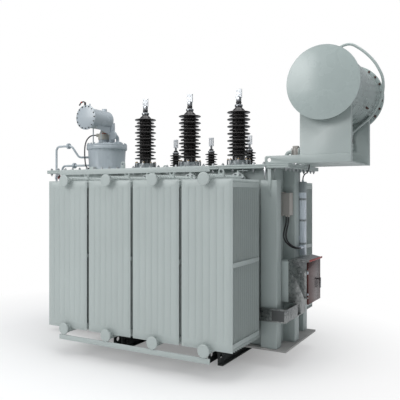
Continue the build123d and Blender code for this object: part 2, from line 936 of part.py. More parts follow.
def build_oil_pipe(line, level, corners):
    """Build one oil pipe that ends at the drum, fused with its brackets and its flanges."""
    with BuildPart() as pipe:
        bent_pipe([(pipe_x, line, pipe_foot), (pipe_x, line, level), *corners], pipe_radius, pipe_bend)
        disc((pipe_x, line, pipe_foot), (0, 0, 1), pipe_flange_radius, pipe_flange_thickness * 2)
        disc((corners[0][0] - pipe_flange_reach, line, level), (1, 0, 0), pipe_flange_radius,
             pipe_flange_thickness * 2)
        for bracket in pipe_bracket_levels:
            block(
                (pipe_x, wall_left),
                (line - pipe_bracket_width / 2, line + pipe_bracket_width / 2),
                (bracket, bracket + pipe_bracket_thickness),
            )
        turned((oltc_x, 0, cover_top), (0, 0, 1), [
            (0, 0),
            (oltc_base_radius + seat_gap, 0),
            (oltc_base_radius + seat_gap, oltc_base_thickness + seat_gap),
            (oltc_radius - oltc_taper + seat_gap, oltc_base_thickness + seat_gap),
            (oltc_radius + seat_gap, drum_height - oltc_flange_thickness - seat_gap),
            (0, drum_height - oltc_flange_thickness - seat_gap),
        ], Mode.SUBTRACT)
    return pipe


upper_level = cover_top + upper_pipe_rise
entry_level = cover_top + upper_pipe_entry
lower_level = cover_top + lower_pipe_rise
upper_pipe = build_oil_pipe(upper_pipe_line, upper_level, [
    (oltc_x + along, upper_pipe_line + across, level)
    for (along, across), level in zip(upper_pipe_corners, (upper_level, entry_level, entry_level))
])
lower_pipe = build_oil_pipe(lower_pipe_line, lower_level, [
    (oltc_x + along, lower_pipe_line + across, lower_level) for along, across in lower_pipe_corners
])
with BuildPart() as oltc_oil_pipes:
    add(upper_pipe.part)
    add(lower_pipe.part)
save(oltc_oil_pipes, "oltc_oil_pipes")

# Conservator: end plate, barrel and bolted back flange
conservator_x = tank_centre + conservator_offset
conservator_axis = cover_top + conservator_rise
with BuildPart() as conservator_barrel:
    turned((conservator_x, conservator_front, conservator_axis), (0, 1, 0), [
        (0, 0),
        (conservator_plate_radius, 0),
        (conservator_plate_radius, conservator_plate_thickness),
        (conservator_radius, conservator_plate_thickness),
        (conservator_radius, conservator_back - conservator_flange_thickness - conservator_front),
        (0, conservator_back - conservator_flange_thickness - conservator_front),
    ])
    # Long strip along the barrel's side
    outward = (cos(radians(strip_angle)), 0, sin(radians(strip_angle)))
    strip_length = strip_back - conservator_front
    with Locations(Plane(
        origin=(
            conservator_x + outward[0] * conservator_radius,
            (conservator_front + strip_back) / 2,
            conservator_axis + outward[2] * conservator_radius,
        ),
        x_dir=(0, 1, 0),
        z_dir=outward,
    )):
        Box(strip_length, strip_width, strip_thickness * 2)
save(conservator_barrel, "conservator_barrel")

with BuildPart() as conservator_flange:
    disc((conservator_x, conservator_back - conservator_flange_thickness, conservator_axis),
         (0, 1, 0), conservator_flange_radius, conservator_flange_thickness)
    chamfer(conservator_flange.edges().group_by(Axis.Y)[-1], 3)
save(conservator_flange, "conservator_flange")

saddle_left = conservator_x - bracket_width / 2
saddle_right = conservator_x + bracket_width / 2
arm_start = cover_end - arm_seat
arm_level = cover_top + arm_height / 2


def build_bracket(near, far, outside):
    """Build one standing plate that grows from an arm on the cover into a saddle for the barrel."""
    with BuildPart() as bracket:
        with BuildSketch(Plane(origin=(0, far, 0), x_dir=(1, 0, 0), z_dir=(0, -1, 0))):
            with BuildLine():
                Polyline(
                    (arm_start, cover_top),
                    (saddle_right, cover_top),
                    (saddle_right, conservator_axis),
                    (saddle_left, conservator_axis),
                    (saddle_left, cover_top + arm_height),
                    (arm_start, cover_top + arm_height),
                    close=True,
                )
            make_face()
        extrude(amount=bracket_thickness)
        arm_end = bracket.edges().filter_by(Axis.Y).sort_by(Axis.X)[:2].sort_by(Axis.Z)[-1]
        fillet(arm_end, arm_corner_radius)
        # Lips folded backwards up both sides of the saddle, and the rail along its foot
        lip_y = (far, far + bracket_lip)
        for edge, other in ((saddle_left, 1), (saddle_right, -1)):
            block(sorted((edge, edge + other * bracket_thickness)), lip_y, (cover_top, conservator_axis))
        face = near if outside < 0 else far
        rail_y = sorted((face, face + outside * rail_thickness))
        block((saddle_left, saddle_right), rail_y, (cover_top, cover_top + arm_height))
        disc((conservator_x, near - 1, conservator_axis), (0, 1, 0),
             conservator_radius + seat_gap, bracket_thickness + bracket_lip + 2, Mode.SUBTRACT)
        disc((arm_start + arm_hole_inset, near - 1, arm_level), (0, 1, 0), arm_hole_radius,
             bracket_thickness + 2, Mode.SUBTRACT)
    return bracket


save(build_bracket(bracket_front, bracket_front + bracket_thickness, -1), "conservator_front_bracket")
save(build_bracket(bracket_back - bracket_thickness, bracket_back, 1), "conservator_back_bracket")
with BuildPart() as conservator_floor:
    block(
        (saddle_left + bracket_thickness, saddle_right - bracket_thickness),
        (bracket_front + bracket_thickness, bracket_back - bracket_thickness),
        (cover_top, cover_top + bracket_thickness),
    )
save(conservator_floor, "conservator_floor")

# Breather pipe that leaves the top of the barrel and ends in a drying canister below it
with BuildPart() as breather_pipe:
    route = [
        (conservator_x + across, breather_line, conservator_axis + up) for across, up in breather_corners
    ]
    bent_pipe(route, breather_radius, largest_arcs(route))
    disc(route[-1], (0, 0, -1), breather_canister_radius, breather_canister_height)
    disc((conservator_x, breather_line - breather_radius - 1, conservator_axis), (0, 1, 0),
         conservator_radius + seat_gap, 2 * breather_radius + 2, Mode.SUBTRACT)
save(breather_pipe, "breather_pipe")

# Gas relay, and its pipe from the cover to the barrel's underside
relay_x = cover_end - relay_start
relay_level = cover_top + relay_pipe_level
relay_end = relay_x + relay_length
with BuildPart() as buchholz_relay:
    for start in (relay_x, relay_end - relay_flange_thickness):
        disc((start, 0, relay_level), (1, 0, 0), relay_flange_radius, relay_flange_thickness)
    disc((relay_x, 0, relay_level), (1, 0, 0), relay_pipe_radius, relay_length)
    relay_middle = (relay_x + relay_end) / 2
    relay_bottom = relay_level - relay_body_height / 2
    relay_body_top = relay_bottom + relay_body_height
    disc((relay_middle, 0, relay_bottom), (0, 0, 1), relay_body_radius, relay_body_height)
    block(
        (relay_middle - relay_box_side / 2, relay_middle + relay_box_side / 2),
        (-relay_box_side / 2, relay_box_side / 2),
        (relay_body_top, relay_body_top + relay_box_height),
    )
save(buchholz_relay, "buchholz_relay")

riser_x = conservator_x - relay_pipe_rise_inset
with BuildPart() as buchholz_pipe:
    pipe_start = (cover_end - relay_pipe_start, 0)
    bent_pipe(
        [(*pipe_start, cover_top), (*pipe_start, relay_level), (relay_x, 0, relay_level)],
        relay_pipe_radius, relay_pipe_bend,
    )
    disc((*pipe_start, cover_top), (0, 0, 1), relay_flange_radius, relay_flange_thickness)
    bent_pipe(
        [(relay_end, 0, relay_level), (riser_x, 0, relay_level), (riser_x, 0, conservator_axis)],
        relay_pipe_radius, relay_pipe_bend,
    )
    disc((relay_end, 0, relay_level), (1, 0, 0), relay_flange_radius, relay_flange_thickness)
    disc((relay_x, 0, relay_level), (-1, 0, 0), relay_flange_radius, relay_flange_thickness)
    disc((conservator_x, -2 * relay_flange_radius, conservator_axis), (0, 1, 0),
         conservator_radius + seat_gap, 4 * relay_flange_radius, Mode.SUBTRACT)
save(buchholz_pipe, "buchholz_pipe")

# Cable duct beside the end stiffener
duct_x = (end_face, end_face + duct_side)
duct_y = (duct_near_side, duct_near_side + duct_side)
duct_top = tank_top - duct_drop
duct_middle = (duct_x[0] + duct_side / 2, duct_y[0] + duct_side / 2)
duct_gland_start = duct_near_side - duct_gland_length
duct_gland_level = tank_top - duct_gland_drop
duct_gland_places = [duct_middle[0] + side * cable_spacing / 2 for side in (-1, 1)]
with BuildPart() as cable_duct:
    block(duct_x, duct_y, (duct_bottom, duct_top))
    for level in (duct_bottom + duct_clamp_inset, duct_top - duct_clamp_inset):
        block((tank_end, end_face), duct_y, (level, level + duct_clamp_height))
    # Glands for the two terminal cables, and one on top for the relay cable
    for place in duct_gland_places:
        disc((place, duct_gland_start, duct_gland_level), (0, 1, 0), gland_radius,
             duct_gland_length)
    disc((*duct_middle, duct_top), (0, 0, 1), gland_radius, gland_length)
save(cable_duct, "cable_duct")

# Cable tray round the near corner of the conservator end, with a mouth in its end face
tray_corner_x = end_face + tray_depth
tray_face_y = -(tank_face + side_stiffener_depth)
tray_top = tray_bottom + tray_height
with BuildPart() as cable_tray:
    block(
        (tank_end - tray_front_run, tray_corner_x),
        (tray_face_y - tray_depth, tray_face_y),
        (tray_bottom, tray_top),
    )
    block((end_face, tray_corner_x), (tray_face_y, tray_side_end), (tray_bottom, tray_top))
    mouth_far = end_stiffener_offset
    block(
        (tray_corner_x - tray_mouth_depth, tray_corner_x),
        (mouth_far - tray_mouth_length, mouth_far),
        (tray_bottom + tray_mouth_margin, tray_top - tray_mouth_margin),
        Mode.SUBTRACT,
    )
save(cable_tray, "cable_tray")

# Terminal box on the near side of the end stiffener, with two glands below
terminal_box_top = tank_top - terminal_box_drop
terminal_box_bottom = terminal_box_top - terminal_box_height
box_near = tank_end + terminal_box_gap
box_far = box_near + terminal_box_length
foot_near = stiffener_near - terminal_box_width + terminal_box_foot_margin
gland_y = stiffener_near - terminal_box_width * terminal_box_gland_share
gland_places = [
    (box_near + box_far) / 2 + side * cable_spacing / 2 for side in (-1, 1)
]
with BuildPart() as terminal_box:
    block((box_near, box_far), (stiffener_near - terminal_box_width, stiffener_near),
          (terminal_box_bottom, terminal_box_top))
    block(
        (box_far, box_far + terminal_box_lid),
        (stiffener_near - terminal_box_width - terminal_box_lid_edge, stiffener_near),
        (terminal_box_bottom - terminal_box_lid_edge, terminal_box_top + terminal_box_lid_edge),
    )
    block(
        (tank_end, box_near),
        (foot_near, stiffener_near - terminal_box_foot_margin),
        (terminal_box_bottom - terminal_box_foot_margin, terminal_box_top + terminal_box_foot_margin),
    )
    for place in gland_places:
        disc((place, gland_y, terminal_box_bottom), (0, 0, -1), gland_radius, gland_length)
save(terminal_box, "terminal_box")


def build_cable(corners, radius, name):
    """Build one cable whose route runs from gland to gland, and print its arcs."""
    arcs = largest_arcs(corners)
    with BuildPart() as cable:
        bent_pipe(corners, radius, arcs)
    run = sum((Vector(*b) - Vector(*a)).length for a, b in zip(corners, corners[1:]))
    section = cable.part.volume / (3.14159 * radius ** 2)
    print(f"{name}: arcs {[round(arc) for arc in arcs]}, length {section:.0f} of {run:.0f} in runs")
    save(cable, name)


gland_foot = terminal_box_bottom - gland_length
for number, (start_x, end_x) in enumerate(zip(gland_places, duct_gland_places), start=1):
    build_cable([
        (start_x, gland_y, gland_foot),
        (start_x, gland_y, gland_foot - 60),
        (start_x + 1, gland_y - 52, gland_foot - 118),
        (start_x + 4, gland_y - 92, gland_foot - 180),
        (start_x * 0.8 + end_x * 0.2, gland_y - 88, gland_foot - 236),
        (start_x * 0.5 + end_x * 0.5, gland_y - 42, gland_foot - 280),
        (start_x * 0.15 + end_x * 0.85, gland_y + 12, gland_foot - 308),
        (end_x, duct_gland_start - 50, duct_gland_level),
        (end_x, duct_gland_start, duct_gland_level),
    ], cable_radius, f"terminal_cable_{number}")

relay_box_level = relay_body_top + relay_box_height / 2
build_cable([
    (*duct_middle, duct_top + gland_length),
    (*duct_middle, duct_top + gland_length + 24),
    (duct_middle[0] + 13.5, duct_middle[1] + 5, duct_top + 78),
    (cover_end + 18, duct_middle[1] + 14, cover_bottom - 42),
    (cover_end + 27, duct_middle[1] + 22, cover_bottom + 26),
    (cover_end + 22, duct_middle[1] + 32, cover_bottom + 92),
    (cover_end - 2, duct_middle[1] + 52, cover_bottom + 150),
    (cover_end - 28, duct_middle[1] + 66, relay_box_level - 32),
    (relay_middle + 40, duct_middle[1] + 63, relay_box_level - 10),
    (relay_middle + 14, duct_middle[1] + 46, relay_box_level - 2),
    (relay_middle, relay_box_side / 2 + 35, relay_box_level),
    (relay_middle, relay_box_side / 2, relay_box_level),
], small_cable_radius, "relay_cable")

boss_reach = (oltc_gear_radius + oltc_boss_length) / sqrt(2)
build_cable([
    (gear_x - boss_reach, -boss_reach, boss_level),
    (gear_x - boss_reach - 25.5, -boss_reach - 25.5, boss_level),
    (oltc_x - 164, -121, boss_level - 12),
    (oltc_x - 179, -147, boss_level - 37),
    (oltc_x - 188, -172, boss_level - 74),
    (oltc_x - 192, -189, boss_level - 119),
    (oltc_x - 191, -199, boss_level - 168),
    (oltc_x - 186, -207, boss_level - 221),
    (oltc_x - 175, -218, boss_level - 274),
    (oltc_x - 157, -233, boss_level - 324),
    (oltc_x - 134, -252, cover_top + 84),
    (oltc_x - 107, -272, cover_top + 50),
    (oltc_x - 76, -289, cover_top + 28),
    (gland_box_x - 37, gland_box_line, cover_top + gland_box_height / 2),
    (gland_box_x, gland_box_line, cover_top + gland_box_height / 2),
], cable_radius, "tap_changer_cable")

# Control cabinet: folded body, gabled roof, door and handle
cabinet_far_side = cabinet_near_side + cabinet_width
cabinet_top = cabinet_bottom + cabinet_height
cabinet_front = end_face + cabinet_depth
door_face = cabinet_front + cabinet_door_gap
hinge_x = door_face + cabinet_door_thickness / 2
hinge_y = cabinet_near_side - hinge_knuckle_radius - 1
hinge_levels = (
    cabinet_bottom + hinge_inset,
    cabinet_top - hinge_inset - hinge_lug_height - hinge_knuckle_height,
)
with BuildPart() as cabinet_body:
    block((end_face, cabinet_front), (cabinet_near_side, cabinet_far_side), (cabinet_bottom, cabinet_top))
    block(
        (end_face + cabinet_wall, cabinet_front),
        (cabinet_near_side + cabinet_wall, cabinet_far_side - cabinet_wall),
        (cabinet_bottom + cabinet_wall, cabinet_top - cabinet_wall),
        Mode.SUBTRACT,
    )
    for level in hinge_levels:
        lug_z = (level, level + hinge_lug_height)
        leaf_x = (cabinet_front - hinge_leaf_length, cabinet_front)
        block(leaf_x, (hinge_y - 3, cabinet_near_side), lug_z)
        block((cabinet_front, hinge_x), (hinge_y - 3, hinge_y + 3), lug_z)
        disc((hinge_x, hinge_y, level), (0, 0, 1), hinge_knuckle_radius, hinge_lug_height)
        disc((hinge_x, hinge_y, level), (0, 0, 1), hinge_pin_radius,
             hinge_lug_height + hinge_knuckle_height)
save(cabinet_body, "cabinet_body")

roof_front = door_face + cabinet_door_thickness + cabinet_roof_overhang
with BuildPart() as cabinet_roof:
    with BuildSketch(Plane.XZ.offset(-(cabinet_far_side + cabinet_roof_overhang))):
        with BuildLine():
            Polyline(
                (end_face, cabinet_top),
                (roof_front, cabinet_top),
                (roof_front, cabinet_top + 10),
                ((end_face + roof_front) / 2, cabinet_top + cabinet_roof_rise),
                (end_face, cabinet_top + 10),
                close=True,
            )
        make_face()
    extrude(amount=cabinet_width + 2 * cabinet_roof_overhang)
save(cabinet_roof, "cabinet_roof")

handle_y = cabinet_far_side - handle_inset
handle_z = cabinet_bottom + cabinet_height / 2
with BuildPart() as cabinet_door:
    block(
        (door_face, door_face + cabinet_door_thickness),
        (cabinet_near_side, cabinet_far_side),
        (cabinet_bottom, cabinet_top - cabinet_door_gap),
    )
    disc((door_face - 1, handle_y, handle_z), (1, 0, 0), handle_spindle_radius + pin_clearance,
         cabinet_door_thickness + 2, Mode.SUBTRACT)
    for level in hinge_levels:
        knuckle_z = (
            level + hinge_lug_height + seat_gap,
            level + hinge_lug_height + hinge_knuckle_height,
        )
        knuckle_start = (hinge_x, hinge_y, knuckle_z[0])
        knuckle_height = knuckle_z[1] - knuckle_z[0]
        disc(knuckle_start, (0, 0, 1), hinge_knuckle_radius, knuckle_height)
        block((hinge_x - 4, hinge_x + 6), (hinge_y, cabinet_near_side), knuckle_z)
        disc(knuckle_start, (0, 0, 1), hinge_pin_radius + pin_clearance, knuckle_height, Mode.SUBTRACT)
save(cabinet_door, "cabinet_door")

with BuildPart() as cabinet_handle:
    lever_back = door_face + cabinet_door_thickness + handle_stand_off
    disc((door_face - 2, handle_y, handle_z), (1, 0, 0), handle_spindle_radius,
         lever_back - door_face + 4)
    block(
        (lever_back, lever_back + handle_thickness),
        (handle_y - 9, handle_y + 9),
        (handle_z - handle_length, handle_z + 12),
    )
save(cabinet_handle, "cabinet_handle")

with BuildPart() as cabinet_bracket:
    block(
        (tank_end, end_face),
        (cabinet_near_side, stiffener_near),
        (cabinet_bottom + 5, cabinet_top - 5),
    )
save(cabinet_bracket, "cabinet_bracket")
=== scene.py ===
"""Dress an oil-filled power transformer for its portrait.

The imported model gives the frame: what carries what, the real sizes and the two moving pieces of the
control cabinet. This script adds the finishes, the pressed sheet metal, the porcelain, the bolts and the
cables. Lengths are metres. X runs along the tank towards the conservator, Y runs across it and Z is up.
"""

from __future__ import annotations

import logging
import math
from collections.abc import Sequence
from dataclasses import dataclass
from enum import Enum

import bmesh
import bpy
from mathutils import Matrix, Vector

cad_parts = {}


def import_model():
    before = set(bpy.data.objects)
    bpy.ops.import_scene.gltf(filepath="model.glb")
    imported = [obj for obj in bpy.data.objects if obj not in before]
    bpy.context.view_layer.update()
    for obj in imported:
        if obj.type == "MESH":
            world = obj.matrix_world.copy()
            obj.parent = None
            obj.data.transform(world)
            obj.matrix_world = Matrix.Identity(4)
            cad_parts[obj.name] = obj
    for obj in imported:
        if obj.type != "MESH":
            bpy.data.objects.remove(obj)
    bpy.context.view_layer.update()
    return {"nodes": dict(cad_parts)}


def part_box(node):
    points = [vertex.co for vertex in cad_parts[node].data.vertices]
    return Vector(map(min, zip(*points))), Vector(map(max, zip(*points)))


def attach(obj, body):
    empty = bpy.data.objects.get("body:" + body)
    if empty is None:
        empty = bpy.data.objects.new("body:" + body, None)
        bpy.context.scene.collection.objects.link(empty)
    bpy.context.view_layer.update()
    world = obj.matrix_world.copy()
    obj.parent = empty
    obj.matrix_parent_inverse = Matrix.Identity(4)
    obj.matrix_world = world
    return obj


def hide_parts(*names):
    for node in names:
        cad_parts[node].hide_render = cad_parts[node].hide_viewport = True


LOG = logging.getLogger("transformer")
Point = tuple[float, float, float]
Colour = tuple[float, float, float, float]
Pairs = Sequence[tuple[float, float]]
X_AXIS = Vector((1, 0, 0))
Y_AXIS = Vector((0, 1, 0))
Z_AXIS = Vector((0, 0, 1))
NOISE_SPAN = (0.3, 0.7)


class Body(str, Enum):
    """The bodies of the frame that pieces ride on."""

    FIXED = "transformer"
    DOOR = "door"
    HANDLE = "handle"


class Facing(Enum):
    """The side of the tank that a repeated piece stands on."""

    FRONT = -1
    BACK = 1

    @property
    def row(self) -> str:
        """The word that starts the names of this side's nodes."""
        return self.name.lower()


def linear(red: int, green: int, blue: int) -> Colour:
    """Turn a colour as a screen shows it into the linear values that the shaders take.

    Args:
        red: Red from 0 to 255.
        green: Green from 0 to 255.
        blue: Blue from 0 to 255.

    Returns:
        The colour as linear red, green, blue and alpha.
    """
    parts = []
    for value in (red, green, blue):
        share = value / 255
        parts.append(share / 12.92 if share <= 0.04045 else ((share + 0.055) / 1.055) ** 2.4)
    return (parts[0], parts[1], parts[2], 1.0)


class Recipe:
    """The node tree of one material, with short ways to add nodes and to join them."""

    def __init__(self, name: str) -> None:
        """Start a material with one Principled shader and the piece's own coordinates.

        Args:
            name: The name of the material.
        """
        self.material = bpy.data.materials.new(name)
        self.material.use_nodes = True
        self.tree = self.material.node_tree
        self.shader = self.tree.nodes["Principled BSDF"]
        self.place = self.tree.nodes.new("ShaderNodeTexCoord").outputs["Object"]

    def feed(self, socket: bpy.types.NodeSocket, value: object) -> None:
        """Join an output to a socket, or set the socket's own value."""
        if isinstance(value, bpy.types.NodeSocket):
            self.tree.links.new(value, socket)
        else:
            socket.default_value = value

    def add(self, kind: str, inputs: dict[str | int, object], **settings: object) -> bpy.types.Node:
        """Add a node and set or join its inputs.

        Args:
            kind: Blender's name of the node type.
            inputs: Values or output sockets, by the name or number of the input.
            **settings: Properties of the node itself.

        Returns:
            The new node.
        """
        node = self.tree.nodes.new(kind)
        for key, value in settings.items():
            setattr(node, key, value)
        for key, value in inputs.items():
            self.feed(node.inputs[key], value)
        return node

    def noise(self, scale: float, detail: float = 3, stretch: Point = (1, 1, 1)) -> bpy.types.NodeSocket:
        """Add a cloud pattern.

        Args:
            scale: Clouds in a metre.
            detail: How many finer layers it has.
            stretch: How often it repeats along X, Y and Z.

        Returns:
            The pattern's value, from 0 to 1.
        """
        place = self.add("ShaderNodeMapping", {"Vector": self.place, "Scale": stretch}).outputs["Vector"]
        inputs = {"Vector": place, "Scale": scale, "Detail": detail}
        return self.add("ShaderNodeTexNoise", inputs).outputs["Fac"]

    def between(self, value: bpy.types.NodeSocket, span: tuple[float, float],
                result: tuple[float, float]) -> bpy.types.NodeSocket:
        """Stretch the part of a value inside a span over the range of the result.

        Args:
            value: The value to read.
            span: The two values that become the ends of the result.
            result: The lowest and highest result.

        Returns:
            The stretched value.
        """
        ends = {"From Min": span[0], "From Max": span[1], "To Min": result[0], "To Max": result[1]}
        return self.add("ShaderNodeMapRange", {"Value": value, **ends}).outputs["Result"]

    def mix(self, share: bpy.types.NodeSocket | float, first: object,
            second: object) -> bpy.types.NodeSocket:
        """Blend two colours by a share and return the blend."""
        node = self.add("ShaderNodeMix", {}, data_type="RGBA")
        self.feed(node.inputs[0], share)
        self.feed(node.inputs[6], first)
        self.feed(node.inputs[7], second)
        return node.outputs[2]

    def relief(self, height: bpy.types.NodeSocket, depth: float, strength: float = 1.0) -> None:
        """Raise the surface by a pattern.

        Args:
            height: The pattern.
            depth: The height of the pattern in metres.
            strength: How much of it shows.
        """
        bump = self.add("ShaderNodeBump", {"Height": height, "Distance": depth, "Strength": strength})
        self.feed(self.shader.inputs["Normal"], bump.outputs["Normal"])

    def fix(self, values: dict[str, float]) -> None:
        """Set sockets of the shader that are the same all over, by their names."""
        for key, value in values.items():
            self.shader.inputs[key].default_value = value


def shade(colour: Colour, factor: float) -> Colour:
    """Make a colour darker or lighter by a factor and return it."""
    return (colour[0] * factor, colour[1] * factor, colour[2] * factor, 1.0)


@dataclass(frozen=True)
class Enamel:
    """Sprayed machine enamel: cloudy, slightly pebbled, with faint runs down upright walls."""

    name: str
    slot: str
    colour: Colour
    roughness: float = 0.38
    cloud: float = 0.07
    runs: float = 0.05
    peel: float = 0.0006
    speck: float = 0.0
    coat: float = 0.0
    dust: Colour = linear(206, 205, 200)
    cloud_scale: float = 1.7
    run_scale: float = 9
    run_stretch: Point = (1, 1, 0.06)
    speck_scale: float = 60
    gloss_scale: float = 6
    peel_scale: float = 260

    def build(self) -> bpy.types.Material:
        """Make the material.

        Returns:
            The new material.
        """
        recipe = Recipe(self.name)
        clouds = recipe.between(recipe.noise(self.cloud_scale, 4), NOISE_SPAN, (0, 1))
        runs = recipe.between(recipe.noise(self.run_scale, 3, self.run_stretch), (0.35, 0.75), (0, 1))
        tone = recipe.mix(clouds, shade(self.colour, 1 - self.cloud), shade(self.colour, 1 + self.cloud))
        worn = recipe.mix(runs, tone, shade(self.colour, 1 - self.runs * 2))
        colour = recipe.mix(0.5, tone, worn)
        if self.speck > 0:
            dots = recipe.between(recipe.noise(self.speck_scale, 5), (0.62, 0.72), (0, self.speck))
            colour = recipe.mix(dots, colour, self.dust)
        recipe.feed(recipe.shader.inputs["Base Color"], colour)
        recipe.feed(recipe.shader.inputs["Roughness"], recipe.between(
            recipe.noise(self.gloss_scale, 4), NOISE_SPAN, (self.roughness - 0.07, self.roughness + 0.08)))
        recipe.fix({"Coat Weight": self.coat, "Coat Roughness": 0.08})
        recipe.relief(recipe.noise(self.peel_scale, 2), self.peel, 0.35)
        return recipe.material


@dataclass(frozen=True)
class Glaze:
    """Fired brown glaze on porcelain: deep, glassy, a little thinner and redder on the rims."""

    name: str = "brown_glaze"
    slot: str = "porcelain"
    colour: Colour = linear(37, 34, 34)
    thin: Colour = linear(54, 43, 39)

    def build(self) -> bpy.types.Material:
        """Make the material.

        Returns:
            The new material.
        """
        recipe = Recipe(self.name)
        edges = recipe.add("ShaderNodeNewGeometry", {}).outputs["Pointiness"]
        thin = recipe.between(edges, (0.53, 0.62), (0, 0.6))
        colour = recipe.mix(thin, self.colour, self.thin)
        spots = recipe.between(recipe.noise(30, 3), (0.45, 0.7), (0, 0.35))
        mottled = recipe.mix(spots, colour, shade(self.colour, 0.5))
        recipe.feed(recipe.shader.inputs["Base Color"], mottled)
        gloss = recipe.between(recipe.noise(40), NOISE_SPAN, (0.2, 0.3))
        recipe.feed(recipe.shader.inputs["Roughness"], gloss)
        recipe.fix({"Coat Weight": 0.3, "Coat Roughness": 0.1, "Specular IOR Level": 0.4})
        recipe.relief(recipe.noise(45, 2), 0.0008, 0.25)
        return recipe.material


@dataclass(frozen=True)
class BareMetal:
    """Bare or plated metal with fine scratches and dull patches."""

    name: str
    slot: str
    colour: Colour
    tarnish: Colour
    roughness: float = 0.32
    grain: Point = (1, 1, 1)
    grain_scale: float = 90
    patch_scale: float = 14
    anisotropic: float = 0.0
    metallic: float = 1.0

    def build(self) -> bpy.types.Material:
        """Make the material.

        Returns:
            The new material.
        """
        recipe = Recipe(self.name)
        patches = recipe.between(recipe.noise(self.patch_scale, 4), (0.42, 0.72), (0, 0.7))
        recipe.feed(recipe.shader.inputs["Base Color"], recipe.mix(patches, self.colour, self.tarnish))
        grain = recipe.noise(self.grain_scale, 3, self.grain)
        recipe.feed(recipe.shader.inputs["Roughness"], recipe.between(
            grain, NOISE_SPAN, (self.roughness - 0.1, self.roughness + 0.12)))
        recipe.fix({"Metallic": self.metallic, "Anisotropic": self.anisotropic})
        recipe.relief(grain, 0.0002, 0.3)
        return recipe.material


@dataclass(frozen=True)
class Rubber:
    """Black cable sheath or gasket: matt, with a dusty bloom."""

    name: str = "black_rubber"
    slot: str = "black_cable"
    colour: Colour = linear(30, 30, 32)
    bloom: Colour = linear(62, 62, 64)

    def build(self) -> bpy.types.Material:
        """Make the material.

        Returns:
            The new material.
        """
        recipe = Recipe(self.name)
        dust = recipe.between(recipe.noise(35, 5), (0.45, 0.8), (0, 0.8))
        recipe.feed(recipe.shader.inputs["Base Color"], recipe.mix(dust, self.colour, self.bloom))
        recipe.feed(recipe.shader.inputs["Roughness"], recipe.between(dust, (0, 1), (0.42, 0.7)))
        recipe.relief(recipe.noise(500, 2), 0.0003, 0.4)
        return recipe.material


AnyFinish = Enamel | Glaze | BareMetal | Rubber


class Finish:
    """Every finish on the transformer, each made once."""

    TANK = Enamel("tank_enamel", "tank_paint", linear(166, 176, 174), cloud=0.05)
    RADIATOR = Enamel("radiator_enamel", "radiator_paint", linear(171, 180, 178), 0.42,
                      cloud=0.035, runs=0.03)
    CONSERVATOR = Enamel("conservator_enamel", "conservator_paint", linear(166, 178, 176), 0.27,
                         peel=0.0002, coat=0.12)
    BASE = Enamel("base_enamel", "base_paint", linear(163, 162, 160), 0.62, cloud=0.14, speck=0.3)
    SKID = Enamel("skid_enamel", "skid_paint", linear(62, 66, 65), 0.6, cloud=0.2, speck=0.25)
    TAP = Enamel("tap_changer_enamel", "tap_changer_paint", linear(174, 183, 189), 0.27,
                 peel=0.0002, coat=0.15)
    GEAR = Enamel("gear_enamel", "gear_paint", linear(190, 188, 178), 0.4)
    RELAY = Enamel("relay_enamel", "relay_paint", linear(172, 168, 163), 0.42)
    FLANGE = Enamel("flange_enamel", "flange_metal", linear(142, 150, 152), 0.36)
    GLAZE = Glaze()
    RUBBER = Rubber()
    TINNED = BareMetal("tinned_metal", "terminal_metal", linear(158, 161, 164), linear(112, 115, 118), 0.3)
    ZINC = BareMetal("zinc_plating", "flange_metal", linear(198, 200, 202), linear(140, 144, 146), 0.34)
    BRASS = BareMetal("brass", "terminal_metal", linear(214, 178, 108), linear(140, 108, 62), 0.28)
    DARK_IRON = BareMetal("dark_iron", "flange_metal", linear(92, 92, 92), linear(54, 52, 50), 0.45)
    STAINLESS = BareMetal("stainless_sheet", "stainless", linear(226, 234, 242), linear(196, 206, 216), 0.3,
                          grain=(1, 1, 0.04), grain_scale=160, patch_scale=5, anisotropic=0.4, metallic=0.3)
    GALVANIZED = BareMetal("galvanized_sheet", "stainless", linear(158, 160, 159), linear(84, 88, 88), 0.34,
                           grain_scale=60, patch_scale=42)
    # The door's stainless sheet is given a dark reddish brown: a painted reflection of the surroundings, not
    # the metal's own colour.
    DOOR = BareMetal("door_sheet_painted_reflection", "stainless", linear(84, 52, 49), linear(58, 43, 41), 0.22, patch_scale=3)
    RED = Enamel("red_enamel", "relay_paint", linear(158, 44, 38), 0.35)
    RUSTY = BareMetal("rusty_iron", "flange_metal", linear(112, 82, 76), linear(70, 48, 44), 0.5)
    BLACK = Enamel("black_enamel", "black_cable", linear(30, 31, 33), 0.35)
    # A dark sheet that stands for no part of its own: painted shade, used in the tray's mouth.
    SHADED = Enamel("painted_shade_sheet", "stainless", linear(84, 86, 86), 0.5)

    _made: dict[str, bpy.types.Material] = {}

    @classmethod
    def material(cls, finish: AnyFinish) -> bpy.types.Material:
        """Make a finish's material the first time that it is asked for.

        Args:
            finish: The finish.

        Returns:
            Its material.
        """
        if finish.name not in cls._made:
            cls._made[finish.name] = finish.build()
        return cls._made[finish.name]


def turn_to(direction: Vector) -> Matrix:
    """Give the turn that takes the Z axis to a direction."""
    return direction.to_track_quat("Z", "Y").to_matrix().to_4x4()


